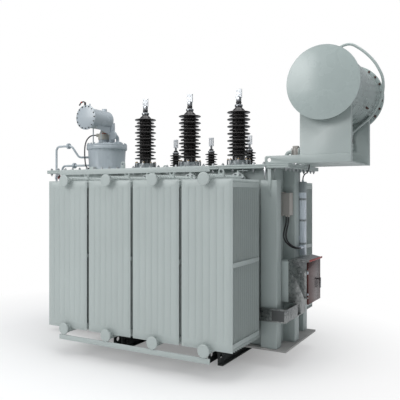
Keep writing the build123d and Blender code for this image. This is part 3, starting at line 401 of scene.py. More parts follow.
class Shape:
    """A mesh in the making, in metres in the object's frame."""

    def __init__(self) -> None:
        """Start with nothing."""
        self.mesh = bmesh.new()

    def move(self, made: list[bmesh.types.BMVert], matrix: Matrix) -> None:
        """Place new corners by a matrix."""
        bmesh.ops.transform(self.mesh, matrix=matrix, verts=made)

    def bevel(self, made: list[bmesh.types.BMVert], width: float, segments: int = 2,
              sharp: float = 30) -> None:
        """Round the sharp edges between some corners.

        Args:
            made: The corners.
            width: The width of the bevel.
            segments: Its steps.
            sharp: The least angle in degrees of an edge that is rounded.
        """
        chosen = set(made)
        edges = [
            edge for edge in self.mesh.edges
            if edge.verts[0] in chosen and edge.verts[1] in chosen
            and len(edge.link_faces) == 2 and edge.calc_face_angle(0) > math.radians(sharp)
        ]
        bmesh.ops.bevel(self.mesh, geom=edges, offset=width, segments=segments, profile=0.5,
                        affect="EDGES", material=-1, clamp_overlap=True)

    def box(self, low: Point, high: Point, bevel: float = 0.0) -> None:
        """Add a box with rounded edges.

        Args:
            low: Its lowest corner.
            high: Its highest corner.
            bevel: The width of its rounded edges.
        """
        low_corner, high_corner = Vector(low), Vector(high)
        size = high_corner - low_corner
        made = bmesh.ops.create_cube(self.mesh, size=1)["verts"]
        self.move(made, Matrix.Translation((low_corner + high_corner) / 2) @ Matrix.Diagonal((*size, 1)))
        if bevel:
            self.bevel(made, bevel)

    def rod(self, start: Point, end: Point, radius: float, sides: int = 24, end_radius: float | None = None,
            bevel: float = 0.0) -> None:
        """Add a round or many-sided bar.

        Args:
            start: The middle of its first end.
            end: The middle of its other end.
            radius: Its radius.
            sides: How many sides it has.
            end_radius: The radius at its other end, where that differs.
            bevel: The width of the rounding of its two rims.
        """
        first, last = Vector(start), Vector(end)
        line = last - first
        made = bmesh.ops.create_cone(
            self.mesh, cap_ends=True, cap_tris=False, segments=sides, radius1=radius,
            radius2=radius if end_radius is None else end_radius, depth=line.length)["verts"]
        self.move(made, Matrix.Translation((first + last) / 2) @ turn_to(line.normalized()))
        if bevel:
            self.bevel(made, bevel, sharp=50)

    def lathe(self, outline: Pairs, foot: Point, axis: Vector = Z_AXIS, steps: int = 48) -> None:
        """Turn an outline about a line.

        Args:
            outline: Pairs of radius and height along the axis, from one end to the other.
            foot: The point of the axis where the height is nothing.
            axis: The direction of the axis.
            steps: How many steps go round.
        """
        turned = bmesh.new()
        corners = [turned.verts.new((radius, 0, height)) for radius, height in outline]
        edges = [turned.edges.new(pair) for pair in zip(corners, corners[1:])]
        bmesh.ops.spin(turned, geom=corners + edges, cent=(0, 0, 0), axis=Z_AXIS, angle=math.tau,
                       steps=steps, use_merge=True, use_duplicate=False)
        bmesh.ops.remove_doubles(turned, verts=turned.verts, dist=1e-6)
        bmesh.ops.recalc_face_normals(turned, faces=turned.faces)
        self.copies(turned, [Matrix.Translation(foot) @ turn_to(axis)])
        turned.free()

    def prism(self, outline: list[Point], depth: Point, bevel: float = 0.0) -> None:
        """Push a flat outline along a direction.

        Args:
            outline: Its corners in order.
            depth: The way and how far it is pushed.
            bevel: The width of its rounded edges.
        """
        corners = [self.mesh.verts.new(point) for point in outline]
        face = self.mesh.faces.new(corners)
        pushed = bmesh.ops.extrude_face_region(self.mesh, geom=[face])["geom"]
        moved = [part for part in pushed if isinstance(part, bmesh.types.BMVert)]
        bmesh.ops.translate(self.mesh, vec=Vector(depth), verts=moved)
        made = corners + moved
        faces = {face for corner in made for face in corner.link_faces}
        bmesh.ops.recalc_face_normals(self.mesh, faces=list(faces))
        if bevel:
            self.bevel(made, bevel)

    def holed(self, cells: list[tuple[list[Point], Vector]], radius: float, push: Vector,
              sides: int = 24) -> None:
        """Add a plate whose face is made of cells with a round hole in each.

        Args:
            cells: The corners of each cell in order, and the middle of its hole.
            radius: The radius of a hole.
            push: The way and how far the face is pushed to the plate's other face.
            sides: How many sides a hole has.
        """
        plate = Shape()
        for outline, centre in cells:
            corners = [plate.mesh.verts.new(point) for point in outline]
            rims = [plate.mesh.edges.new(pair) for pair in zip(corners, corners[1:] + corners[:1])]
            hole = bmesh.ops.create_circle(plate.mesh, cap_ends=False, segments=sides, radius=radius)["verts"]
            plate.move(hole, Matrix.Translation(centre) @ turn_to(push.normalized()))
            rims.extend({edge for corner in hole for edge in corner.link_edges})
            bmesh.ops.bridge_loops(plate.mesh, edges=rims)
        bmesh.ops.remove_doubles(plate.mesh, verts=plate.mesh.verts, dist=1e-6)
        pushed = bmesh.ops.extrude_face_region(plate.mesh, geom=list(plate.mesh.faces))["geom"]
        moved = [part for part in pushed if isinstance(part, bmesh.types.BMVert)]
        bmesh.ops.translate(plate.mesh, vec=push, verts=moved)
        bmesh.ops.recalc_face_normals(plate.mesh, faces=plate.mesh.faces)
        self.copies(plate.mesh, [Matrix.Identity(4)])
        plate.mesh.free()

    def lug(self, foot: Vector, width: float, height: float, thickness: float, hole: float,
            drop: float, steps: int = 8) -> None:
        """Add an upright round-topped lug with a hole, across Y.

        Args:
            foot: The middle of its foot.
            width: Its width.
            height: Its height.
            thickness: Its thickness.
            hole: The radius of its hole.
            drop: How far the middle of the hole lies below its top.
            steps: The steps of its round top.
        """
        near = foot.y - thickness / 2
        round_middle = foot.z + height - width / 2
        outline = [(foot.x - width / 2, near, foot.z), (foot.x + width / 2, near, foot.z)]
        for step in range(steps + 1):
            angle = math.pi * step / steps
            outline.append((foot.x + width / 2 * math.cos(angle), near,
                            round_middle + width / 2 * math.sin(angle)))
        centre = Vector((foot.x, near, foot.z + height - drop))
        self.holed([(outline, centre)], hole, Vector((0, thickness, 0)))

    def copies(self, pattern: bmesh.types.BMesh, places: list[Matrix]) -> None:
        """Add a copy of a small mesh at each place.

        Args:
            pattern: The small mesh.
            places: Where the copies go.
        """
        stock = bpy.data.meshes.new("pattern")
        pattern.to_mesh(stock)
        for place in places:
            placed = stock.copy()
            placed.transform(place)
            self.mesh.from_mesh(placed)
            bpy.data.meshes.remove(placed)
        bpy.data.meshes.remove(stock)

    def bolts(self, places: list[Point], axis: Vector, size: float, grip: float = 0.0,
              shank: float = 0.6) -> None:
        """Add bolts with a washer and a nut, in the usual proportions to their thread.

        Args:
            places: Where each washer lies on its flange.
            axis: The way the nuts point.
            size: The thread's diameter.
            grip: The thickness of the flanges, with a bolt head behind them, or nothing for no head.
            shank: How far the thread stands out of the nut, as a share of its diameter.
        """
        washer, nut_top, nut_radius = size * 0.18, size * 0.98, size * 0.92
        bolt = Shape()
        bolt.rod((0, 0, 0), (0, 0, washer), size, 12)
        bolt.rod((0, 0, washer), (0, 0, nut_top), nut_radius, 6)
        bolt.rod((0, 0, size * 0.9), (0, 0, nut_top + size * shank), size * 0.46, 8)
        if grip:
            bolt.rod((0, 0, -grip), (0, 0, -grip - size * 0.62), nut_radius, 6, bevel=size * 0.1)
        turn = turn_to(axis)
        spins = [Matrix.Rotation(math.radians(37 * number % 60), 4, "Z") for number in range(len(places))]
        stands = [Matrix.Translation(place) @ turn @ spin for place, spin in zip(places, spins)]
        self.copies(bolt.mesh, stands)
        bolt.mesh.free()

    def pipe(self, points: list[Point], radius: float, bend: float, sides: int = 20, steps: int = 6) -> None:
        """Add a bent pipe that runs straight between its bends.

        Args:
            points: Its corners.
            radius: The radius of the pipe.
            bend: The radius of its bends, measured to its middle line.
            sides: How many sides it has.
            steps: The steps in each bend.
        """
        self.sweep(bent_line([Vector(point) for point in points], bend, steps), radius, sides)

    def sweep(self, line: list[Vector], radius: float, sides: int) -> None:
        """Push a circle along a line of points and close both ends.

        Args:
            line: The points.
            radius: The circle's radius.
            sides: How many sides it has.
        """
        ways = [(after - before).normalized() for before, after in zip(line, line[1:])]
        hoop = bmesh.ops.create_circle(self.mesh, cap_ends=False, segments=sides, radius=radius)["verts"]
        self.move(hoop, Matrix.Translation(line[0]) @ turn_to(ways[0]))
        loops = [list(hoop)]
        edges = [edge for edge in self.mesh.edges if edge.verts[0] in hoop and edge.verts[1] in hoop]
        way = ways[0]
        for index in range(1, len(line)):
            following = ways[min(index, len(ways) - 1)]
            tilt = (ways[index - 1] + following).normalized()
            grown = bmesh.ops.extrude_edge_only(self.mesh, edges=edges)["geom"]
            hoop = [part for part in grown if isinstance(part, bmesh.types.BMVert)]
            edges = [part for part in grown if isinstance(part, bmesh.types.BMEdge)
                     and part.verts[0] in hoop and part.verts[1] in hoop]
            turn = way.rotation_difference(tilt).to_matrix().to_4x4()
            self.move(hoop, Matrix.Translation(line[index]) @ turn @ Matrix.Translation(-line[index - 1]))
            way = tilt
            loops.append(hoop)
        for loop in (loops[0], loops[-1]):
            bmesh.ops.contextual_create(self.mesh, geom=loop)
        made = {corner for loop in loops for corner in loop}
        faces = {face for corner in made for face in corner.link_faces}
        bmesh.ops.recalc_face_normals(self.mesh, faces=list(faces))

    def node_copy(self, node: bpy.types.Object, bevel: float) -> None:
        """Add a copy of a node of the frame with its edges rounded.

        Args:
            node: The node's object.
            bevel: The width of its rounded edges.
        """
        self.mesh.from_mesh(node.data)
        bmesh.ops.remove_doubles(self.mesh, verts=self.mesh.verts, dist=1e-5)
        bmesh.ops.dissolve_limit(self.mesh, angle_limit=math.radians(0.5), use_dissolve_boundaries=False,
                                 verts=self.mesh.verts, edges=self.mesh.edges)
        if bevel:
            self.bevel(list(self.mesh.verts), bevel)

    def piece(self, name: str, finish: AnyFinish, body: Body = Body.FIXED, stands_for: tuple[str, ...] = (),
              smooth: float = 32) -> None:
        """Turn the mesh into a finished piece of the object.

        Args:
            name: The piece's name.
            finish: Its finish.
            body: The body that it rides on.
            stands_for: The nodes of the frame that it replaces.
            smooth: The greatest angle in degrees that is shaded smooth.
        """
        bmesh.ops.remove_doubles(self.mesh, verts=self.mesh.verts, dist=1e-6)
        data = bpy.data.meshes.new(name)
        self.mesh.to_mesh(data)
        self.mesh.free()
        data.shade_smooth()
        data.set_sharp_from_angle(angle=math.radians(smooth))
        data.materials.append(Finish.material(finish))
        made = bpy.data.objects.new(name, data)
        bpy.context.scene.collection.objects.link(made)
        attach(made, body.value)
        if stands_for:
            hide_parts(*stands_for)
        LOG.info("%s: %d faces on %s", name, len(data.polygons), body.value)


def bent_line(points: list[Vector], bend: float, steps: int) -> list[Vector]:
    """Round the corners of a line of points with arcs.

    Args:
        points: The corners, with the two ends.
        bend: The radius of the arcs.
        steps: The steps in each arc.

    Returns:
        The points of the rounded line.
    """
    line = [points[0]]
    for before, corner, after in zip(points, points[1:], points[2:]):
        back, ahead = (before - corner).normalized(), (after - corner).normalized()
        half = back.angle(ahead) / 2
        reach = min(bend / math.tan(half), (before - corner).length * 0.49, (after - corner).length * 0.49)
        radius = reach * math.tan(half)
        middle = corner + (back + ahead).normalized() * (radius / math.sin(half))
        start, end = corner + back * reach - middle, corner + ahead * reach - middle
        axis, sweep = start.cross(end).normalized(), start.angle(end)
        for step in range(steps + 1):
            line.append(middle + Matrix.Rotation(sweep * step / steps, 3, axis) @ start)
    line.append(points[-1])
    return line


@dataclass(frozen=True)
class Lamp:
    """One square soft lamp: where it hangs, the point that it faces, its sides and its watts."""

    name: str
    place: Point
    target: Point
    size: float
    power: float

    def hang(self) -> None:
        """Hang the lamp so that it faces its target."""
        data = bpy.data.lights.new(self.name, "AREA")
        data.size = self.size
        data.energy = self.power
        lamp = bpy.data.objects.new(self.name, data)
        lamp.location = self.place
        lamp.rotation_euler = (Vector(self.target) - Vector(self.place)).to_track_quat("-Z", "Y").to_euler()
        bpy.context.scene.collection.objects.link(lamp)


LAMPS = (
    Lamp("front_softbox", (-4.5, -8.0, 6.0), (-0.3, -0.6, 1.2), size=5.0, power=420),
    Lamp("roof_softbox", (0.5, -0.5, 8.5), (0, 0, 0), size=7.0, power=470),
    Lamp("right_softbox", (8.0, -3.0, 4.5), (1.0, 0, 1.5), size=3.5, power=40),
)


@dataclass
class Studio:
    """The camera, the white surroundings, the floor and the lamps."""

    camera_from_tank: Point = (3.3265, -5.365, 1.678)
    camera_turn: float = 29.18
    focal_length: float = 48.42
    sensor_width: float = 36.0
    horizon_shift: float = -0.0135
    floor_size: float = 90.0
    floor_tones: tuple[float, float] = (0.86, 0.88)
    ambient: float = 0.40
    fade: tuple[float, float] = (1.55, 3.7)
    fade_middle: Point = (-0.9, -0.55, 0)
    glow: float = 0.25

    def place_camera(self, tank_middle: float) -> None:
        """Stand the camera where the photograph was taken.

        Args:
            tank_middle: The middle of the tank along X.
        """
        data = bpy.data.cameras.new("portrait_camera")
        data.sensor_width = self.sensor_width
        data.lens = self.focal_length
        data.shift_y = self.horizon_shift
        data.clip_end = 200
        camera = bpy.data.objects.new("portrait_camera", data)
        camera.location = Vector(self.camera_from_tank) + Vector((tank_middle, 0, 0))
        camera.rotation_euler = (math.radians(90), 0, math.radians(self.camera_turn))
        bpy.context.scene.collection.objects.link(camera)
        bpy.context.scene.camera = camera

    def light_surroundings(self) -> None:
        """Make the surroundings white to the eye and softer as a light."""
        world = bpy.data.worlds.new("surroundings")
        bpy.context.scene.world = world
        world.use_nodes = True
        tree = world.node_tree
        tree.nodes.clear()
        seen = tree.nodes.new("ShaderNodeBackground")
        seen.inputs["Color"].default_value = (1, 1, 1, 1)
        lit = tree.nodes.new("ShaderNodeBackground")
        lit.inputs["Color"].default_value = (0.93, 0.96, 1.0, 1)
        lit.inputs["Strength"].default_value = self.ambient
        path = tree.nodes.new("ShaderNodeLightPath")
        clear = tree.nodes.new("ShaderNodeMath")
        clear.operation = "MAXIMUM"
        tree.links.new(path.outputs["Is Camera Ray"], clear.inputs[0])
        tree.links.new(path.outputs["Is Transmission Ray"], clear.inputs[1])
        blend = tree.nodes.new("ShaderNodeMixShader")
        tree.links.new(clear.outputs[0], blend.inputs[0])
        tree.links.new(lit.outputs[0], blend.inputs[1])
        tree.links.new(seen.outputs[0], blend.inputs[2])
        tree.links.new(blend.outputs[0], tree.nodes.new("ShaderNodeOutputWorld").inputs[0])

    def lay_floor(self) -> None:
        """Lay a wide pale floor that keeps the object's shadow and fades to white further off."""
        recipe = Recipe("pale_floor")
        dark, light = [(tone, tone, tone, 1) for tone in self.floor_tones]
        recipe.feed(recipe.shader.inputs["Base Color"], recipe.mix(recipe.noise(0.4, 2), dark, light))
        recipe.fix({"Roughness": 0.9, "Specular IOR Level": 0.1})
        white = recipe.add("ShaderNodeEmission", {"Color": (1, 1, 1, 1)}).outputs[0]
        seen = recipe.add("ShaderNodeLightPath", {}).outputs["Is Camera Ray"]
        away = recipe.add("ShaderNodeVectorMath", {0: recipe.place, 1: self.fade_middle},
                          operation="DISTANCE").outputs["Value"]
        faded = recipe.between(away, self.fade, (self.glow, 1))
        share = recipe.add("ShaderNodeMath", {0: seen, 1: faded}, operation="MULTIPLY").outputs[0]
        blend = recipe.add("ShaderNodeMixShader", {0: share, 1: recipe.shader.outputs[0], 2: white})
        recipe.feed(recipe.tree.nodes["Material Output"].inputs["Surface"], blend.outputs[0])
        mesh = bmesh.new()
        bmesh.ops.create_grid(mesh, x_segments=1, y_segments=1, size=self.floor_size / 2)
        data = bpy.data.meshes.new("floor")
        mesh.to_mesh(data)
        mesh.free()
        data.materials.append(recipe.material)
        floor = bpy.data.objects.new("floor", data)
        bpy.context.scene.collection.objects.link(floor)

    def build(self, tank_middle: float) -> None:
        """Set up the whole studio.

        Args:
            tank_middle: The middle of the tank along X.
        """
        bpy.context.scene.view_settings.view_transform = "Standard"
        self.place_camera(tank_middle)
        self.light_surroundings()
        self.lay_floor()
        for lamp in LAMPS:
            lamp.hang()


def ring(centre: Vector, axis: Vector, radius: float, count: int, start: float = 0.0) -> list[Vector]:
    """Spread points evenly round an axis.

    Args:
        centre: The middle of the ring.
        axis: The direction of the axis.
        radius: The radius of the ring.
        count: How many points there are.
        start: The angle of the first one in degrees.

    Returns:
        The points.
    """
    turn = turn_to(axis)
    angles = [math.radians(start) + math.tau * number / count for number in range(count)]
    return [centre + turn @ Vector((radius * math.cos(a), radius * math.sin(a), 0)) for a in angles]


def spread(first: float, last: float, count: int) -> list[float]:
    """Give evenly spaced values from the first to the last."""
    return [first + (last - first) * number / (count - 1) for number in range(count)]


@dataclass
class Box:
    """The space that a node of the frame takes up, with its middle and size."""

    low: Vector
    high: Vector

    @classmethod
    def of(cls, node: str) -> Box:
        """Measure a node of the frame."""
        return cls(*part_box(node))

    @property
    def middle(self) -> Vector:
        """The middle of the space."""
        return (self.low + self.high) / 2

    @property
    def size(self) -> Vector:
        """The length, width and height of the space."""
        return self.high - self.low

    @property
    def foot(self) -> Vector:
        """The middle of its lowest face."""
        return Vector((self.middle.x, self.middle.y, self.low.z))


def ease(share: float) -> float:
    """Turn a share into a smooth step from 0 to 1."""
    held = max(0.0, min(1.0, share))
    return held * held * (3 - 2 * held)


@dataclass
class Panel:
    """One pressed steel panel of a radiator: two sheets welded round their rim and along narrow grooves."""

    width: float
    height: float
    thickness: float = 0.013
    channels: int = 7
    seam: float = 0.011
    sheet: float = 0.0013
    rim_run: float = 0.010
    groove: float = 0.011
    groove_start: float = 0.070
    groove_run: float = 0.010
    groove_depth: float = 0.85

    def groove_places(self) -> list[float]:
        """Give the places across the panel where the sheets are welded together in a groove.

        Returns:
            The places, from left to right.
        """
        inner = self.width / 2 - self.seam
        return spread(-inner, inner, self.channels + 1)[1:-1]

    def column_places(self) -> list[float]:
        """Give the places across the panel where its sheet bends.

        Returns:
            The places, from its left edge to its right edge.
        """
        edge, half = self.width / 2, self.rim_run / 2
        rim = [edge, edge - self.seam, edge - self.seam - half, edge - self.seam - 2 * half]
        places = {-place for place in rim} | set(rim)
        for line in self.groove_places():
            places.update(line + self.groove * share for share in (-1, -0.55, 0, 0.55, 1))
        return sorted(places)

    def row_places(self) -> list[float]:
        """Give the heights where its sheet bends.

        Returns:
            The heights, from its bottom edge to its top edge.
        """
        starts = [0, self.seam, self.seam + self.rim_run / 2, self.seam + self.rim_run]
        starts += [self.groove_start + self.groove_run * share for share in (0, 0.35, 0.65, 1)]
        return [*starts, self.height / 2, *[self.height - start for start in reversed(starts)]]

    def swell(self, across: float, up: float) -> float:
        """Tell how far a sheet stands off the panel's middle plane.

        Args:
            across: The place across the panel from its middle.
            up: The height above its bottom edge.

        Returns:
            The distance.
        """
        end = min(up, self.height - up)
        inward = min(self.width / 2 - abs(across), end)
        full = (self.thickness / 2 - self.sheet) * ease((inward - self.seam) / self.rim_run)
        near = min(abs(across - line) for line in self.groove_places())
        dent = ease(1 - near / self.groove) * ease((end - self.groove_start) / self.groove_run)
        return self.sheet + full * (1 - self.groove_depth * dent)

    def build(self) -> bmesh.types.BMesh:
        """Press the panel.

        Returns:
            The panel, upright across X, with its bottom edge's middle at the origin.
        """
        columns, rows = self.column_places(), self.row_places()
        panel = bmesh.new()
        for facing in Facing:
            made = bmesh.ops.create_grid(panel, x_segments=len(columns) - 1, y_segments=len(rows) - 1,
                                         size=0.5)["verts"]
            for corner in made:
                across = columns[round((corner.co.x + 0.5) * (len(columns) - 1))]
                up = rows[round((corner.co.y + 0.5) * (len(rows) - 1))]
                corner.co = Vector((across, facing.value * self.swell(across, up), up))
        rims = [edge for edge in panel.edges if edge.is_boundary]
        bmesh.ops.bridge_loops(panel, edges=rims)
        bmesh.ops.recalc_face_normals(panel, faces=panel.faces)
        return panel


@dataclass
class Radiators:
    """The radiators on both long sides: pressed panels on round headers with blanked ends."""

    count_a_side: int = 4
    panel_count: int = 14
    panel_thickness: float = 0.013
    header_radius: float = 0.043
    header_rise: float = 0.061
    collar_rise: float = 0.004
    collar_length: float = 0.020
    neck_radius: float = 0.038
    disc_radius: float = 0.061
    disc_thickness: float = 0.016
    blank_reach: float = 0.060
    vent_radius: float = 0.011
    vent_height: float = 0.012
    plug_radius: float = 0.009
    plug_height: float = 0.021
    eye_size: Point = (0.065, 0.008, 0.104)
    eye_hole: float = 0.017
    eye_hole_drop: float = 0.027
    band_height: float = 0.042
    band_thickness: float = 0.005
    band_inset: float = 0.055
    band_start: float = 0.012

    def nodes(self, facing: Facing) -> list[str]:
        """Give the names of the radiators' nodes on one side of the tank."""
        return [f"{facing.row}_radiator_{number}" for number in range(1, self.count_a_side + 1)]

    def header_levels(self, space: Box) -> tuple[float, float]:
        """Give the levels of a radiator's lower and upper header, from the space that it takes up."""
        return space.low.z + self.header_rise, space.high.z - self.eye_size[2]

    def build(self) -> None:
        """Build every radiator, each in place of its node."""
        for facing in Facing:
            for node in self.nodes(facing):
                self.build_one(node, facing)

    def build_one(self, node: str, facing: Facing) -> None:
        """Build one radiator.

        Args:
            node: The node that it stands for.
            facing: Its side of the tank.
        """
        side = facing.value
        space = Box.of(node)
        place, width = space.middle.x, space.size.x
        bottom, top = self.header_levels(space)
        outer, inner = (space.low.y, space.high.y) if side < 0 else (space.high.y, space.low.y)
        end = outer - side * self.blank_reach
        shape = Shape()
        panel = Panel(width, top - bottom, self.panel_thickness).build()
        half = side * self.panel_thickness / 2
        lines = spread(inner + half, end - half, self.panel_count)
        shape.copies(panel, [Matrix.Translation((place, line, bottom)) for line in lines])
        panel.free()
        collar = self.collar_length / 2
        for level in (bottom, top):
            shape.rod((place, inner, level), (place, end, level), self.header_radius, 32)
            for line in lines:
                shape.rod((place, line - collar, level), (place, line + collar, level),
                          self.header_radius + self.collar_rise, 32, bevel=0.003)
            self.add_blank(shape, Vector((place, end, level)), side)
        self.add_bands(shape, place, width, (end, inner), (bottom, top))
        eye_width, eye_thickness, eye_height = self.eye_size
        shape.lug(Vector((place, (end + inner) / 2, top)), eye_width, eye_height, eye_thickness,
                  self.eye_hole, self.eye_hole_drop)
        shape.piece(f"{node}_dressed", Finish.RADIATOR, stands_for=(node,), smooth=40)

    def add_blank(self, shape: Shape, end: Vector, side: int) -> None:
        """Add the neck, the bolted blank disc and the vent plug at a header's end.

        Args:
            shape: The radiator's mesh.
            end: The middle of the header's end.
            side: 1 if it points to the back, otherwise -1.
        """
        neck, disc, reach = self.neck_radius, self.disc_radius, self.blank_reach
        near = reach - self.disc_thickness
        outline = (
            (0, -0.01), (neck, -0.01), (neck, near - 0.004), (neck + 0.004, near), (disc - 0.003, near),
            (disc, near + 0.003), (disc, reach - 0.007), (disc - 0.002, reach - 0.003),
            (disc - 0.006, reach - 0.0006), (disc - 0.011, reach), (0, reach))
        shape.lathe(outline, end, Y_AXIS * side, 40)
        middle = end + Vector((0, side * near / 2, 0))
        top = middle + Z_AXIS * neck
        shape.rod(middle, top + Z_AXIS * self.vent_height, self.vent_radius, 16, bevel=0.001)
        shape.rod(top + Z_AXIS * (self.vent_height - 0.002), top + Z_AXIS * self.plug_height,
                  self.plug_radius, 6, bevel=0.001)

    def add_bands(self, shape: Shape, place: float, width: float, run: tuple[float, float],
                  span: tuple[float, float]) -> None:
        """Add the bands that hold the panels' edges at three levels.

        Args:
            shape: The radiator's mesh.
            place: Its middle along X.
            width: Its width.
            run: The two ends of its headers along Y.
            span: The levels of its headers.
        """
        low, high = sorted(run)
        for level in (span[0] + self.band_inset, sum(span) / 2, span[1] - self.band_inset):
            for edge in (-1, 1):
                outer = place + edge * width / 2
                near, far = sorted((outer, outer - edge * self.band_thickness))
                shape.box((near, low + self.band_start, level - self.band_height / 2),
                          (far, high, level + self.band_height / 2), 0.0012)


# A shed from its underside, round its rim, to its top: shares of its reach and of the sheds' pitch.
SHED_PROFILE = (
    (0, -0.14), (0.07, -0.07), (0.35, -0.03), (0.72, 0), (0.90, 0.03), (0.975, 0.09), (1, 0.17),
    (0.985, 0.25), (0.93, 0.315), (0.82, 0.36), (0.5, 0.45), (0.2, 0.54), (0.05, 0.62), (0, 0.70))


@dataclass
class Bushing:
    """One porcelain insulator with large and small sheds, on a clamped flange."""

    height: float
    core: float
    radius: float
    small_radius: float
    large_sheds: int
    collar: float
    top_collar: float

    def shed(self, level: float, radius: float, pitch: float) -> list[tuple[float, float]]:
        """Give the outline of one shed, with a thick rounded rim and a sloping top.

        Args:
            level: The level of its underside above the foot.
            radius: Its radius.
            pitch: The distance to the next shed.

        Returns:
            Pairs of radius and height.
        """
        reach = radius - self.core
        return [(self.core + reach * across, level + pitch * up) for across, up in SHED_PROFILE]

    def outline(self) -> list[tuple[float, float]]:
        """Give the outline of the insulator.

        Returns:
            Pairs of radius and height.
        """
        count = 2 * self.large_sheds - 1
        points = [(0.0, 0.0), (self.core + 0.006, 0.0), (self.core + 0.008, 0.006), (self.core, 0.02)]
        levels = spread(self.collar, self.height - self.top_collar, count)
        pitch = levels[1] - levels[0]
        for number, level in enumerate(levels):
            points.extend(self.shed(level, self.small_radius if number % 2 else self.radius, pitch))
        return [*points, (self.core - 0.002, self.height - 0.001), (self.core - 0.006, self.height),
                (0.0, self.height)]

    def build(self, node: str) -> None:
        """Turn the insulator in place of its node."""
        shape = Shape()
        shape.lathe(self.outline(), Box.of(node).foot, steps=72)
        shape.piece(f"{node}_porcelain", Finish.GLAZE, stands_for=(node,), smooth=50)


TALL_BUSHING = Bushing(height=0.574, core=0.066, radius=0.122, small_radius=0.102, large_sheds=7,
                       collar=0.095, top_collar=0.032)
SHORT_BUSHING = Bushing(height=0.185, core=0.036, radius=0.073, small_radius=0.061, large_sheds=3,
                        collar=0.040, top_collar=0.028)


@dataclass(frozen=True)
class BoltRing:
    """A ring of equal bolts on a flange."""

    radius: float
    count: int
    thread: float
    start: float = 0.0

    def places(self, centre: Vector, axis: Vector) -> list[Vector]:
        """Give where the bolts stand round a centre."""
        return ring(centre, axis, self.radius, self.count, self.start)

    def add_to(self, shape: Shape, centre: Vector, axis: Vector, grip: float = 0.0) -> None:
        """Add the bolts.

        Args:
            shape: The mesh that takes them.
            centre: The middle of the ring on the flange's face.
            axis: The way the nuts point.
            grip: The thickness of the flanges, or nothing for bolts without a head.
        """
        shape.bolts(self.places(centre, axis), axis, self.thread, grip)


@dataclass(frozen=True)
class Flange:
    """The round flange under a bushing, with a raised collar that holds the porcelain."""

    radius: float
    collar_radius: float
    collar_height: float
    thickness: float = 0.015

    def add_to(self, shape: Shape, foot: Vector, core: float) -> None:
        """Add the flange.

        Args:
            shape: The mesh that takes it.
            foot: The foot of the porcelain.
            core: The radius of the porcelain.
        """
        outer, low = self.radius, -self.thickness
        collar, rise = self.collar_radius, self.collar_height
        shape.lathe((
            (0, low), (outer - 0.002, low), (outer, low + 0.002), (outer, -0.002), (outer - 0.002, 0),
            (collar + 0.008, 0), (collar + 0.002, 0.003), (collar, 0.010), (collar - 0.002, rise - 0.004),
            (collar - 0.006, rise), (core + 0.0065, rise), (core + 0.005, rise - 0.004),
            (core + 0.005, 0.004), (0, 0.004)), foot, steps=64)


@dataclass(frozen=True)
class FingerClamp:
    """A stud with a small bridge that presses on a porcelain's collar."""

    level: float = 0.044
    thickness: float = 0.008
    width: float = 0.022
    back: float = 0.012
    reach: float = 0.030
    stud_radius: float = 0.005
    stud_height: float = 0.068
    nut_radius: float = 0.010
    nut_height: float = 0.009

    def add_to(self, iron: Shape, brass: Shape, place: Vector, foot: Vector) -> None:
        """Add the clamp.

        Args:
            iron: The mesh of the stud and the bridge.
            brass: The mesh of the nut.
            place: Where the stud stands.
            foot: The foot of the porcelain.
        """
        inward = (foot - place).normalized()
        half, top = self.width / 2, self.level + self.thickness
        bridge = Shape()
        bridge.box((-self.back, -half, self.level), (self.reach, half, top), 0.002)
        bridge.box((-self.back, -half, 0), (self.thickness - self.back, half, top - self.thickness / 2),
                   0.0015)
        turn = Matrix.Rotation(math.atan2(inward.y, inward.x), 4, "Z")
        iron.copies(bridge.mesh, [Matrix.Translation(place) @ turn])
        bridge.mesh.free()
        iron.rod(place, place + Z_AXIS * self.stud_height, self.stud_radius, 12)
        brass.rod(place + Z_AXIS * top, place + Z_AXIS * (top + self.nut_height), self.nut_radius, 6,
                  bevel=0.001)


@dataclass(frozen=True)
class TerminalPlate:
    """An upright terminal plate with four bolt holes."""

    width: float
    height: float
    thickness: float
    hole_offset: float
    hole_drop: float
    hole_radius: float = 0.0068

    def add_to(self, shape: Shape, top: Vector) -> None:
        """Add the plate, across Y.

        Args:
            shape: The mesh that takes it.
            top: The middle of its top edge.
        """
        centre = top - Vector((0, self.thickness / 2, self.hole_drop))
        half, offset = self.width / 2, self.hole_offset
        columns = ((centre.x - half, centre.x, -offset), (centre.x, centre.x + half, offset))
        rows = ((top.z - self.height, centre.z, -offset), (centre.z, top.z, offset))
        cells = []
        for left, right, across in columns:
            for low, high, up in rows:
                cell = [(left, centre.y, low), (right, centre.y, low), (right, centre.y, high),
                        (left, centre.y, high)]
                cells.append((cell, centre + Vector((across, 0, up))))
        shape.holed(cells, self.hole_radius, Vector((0, self.thickness, 0)))


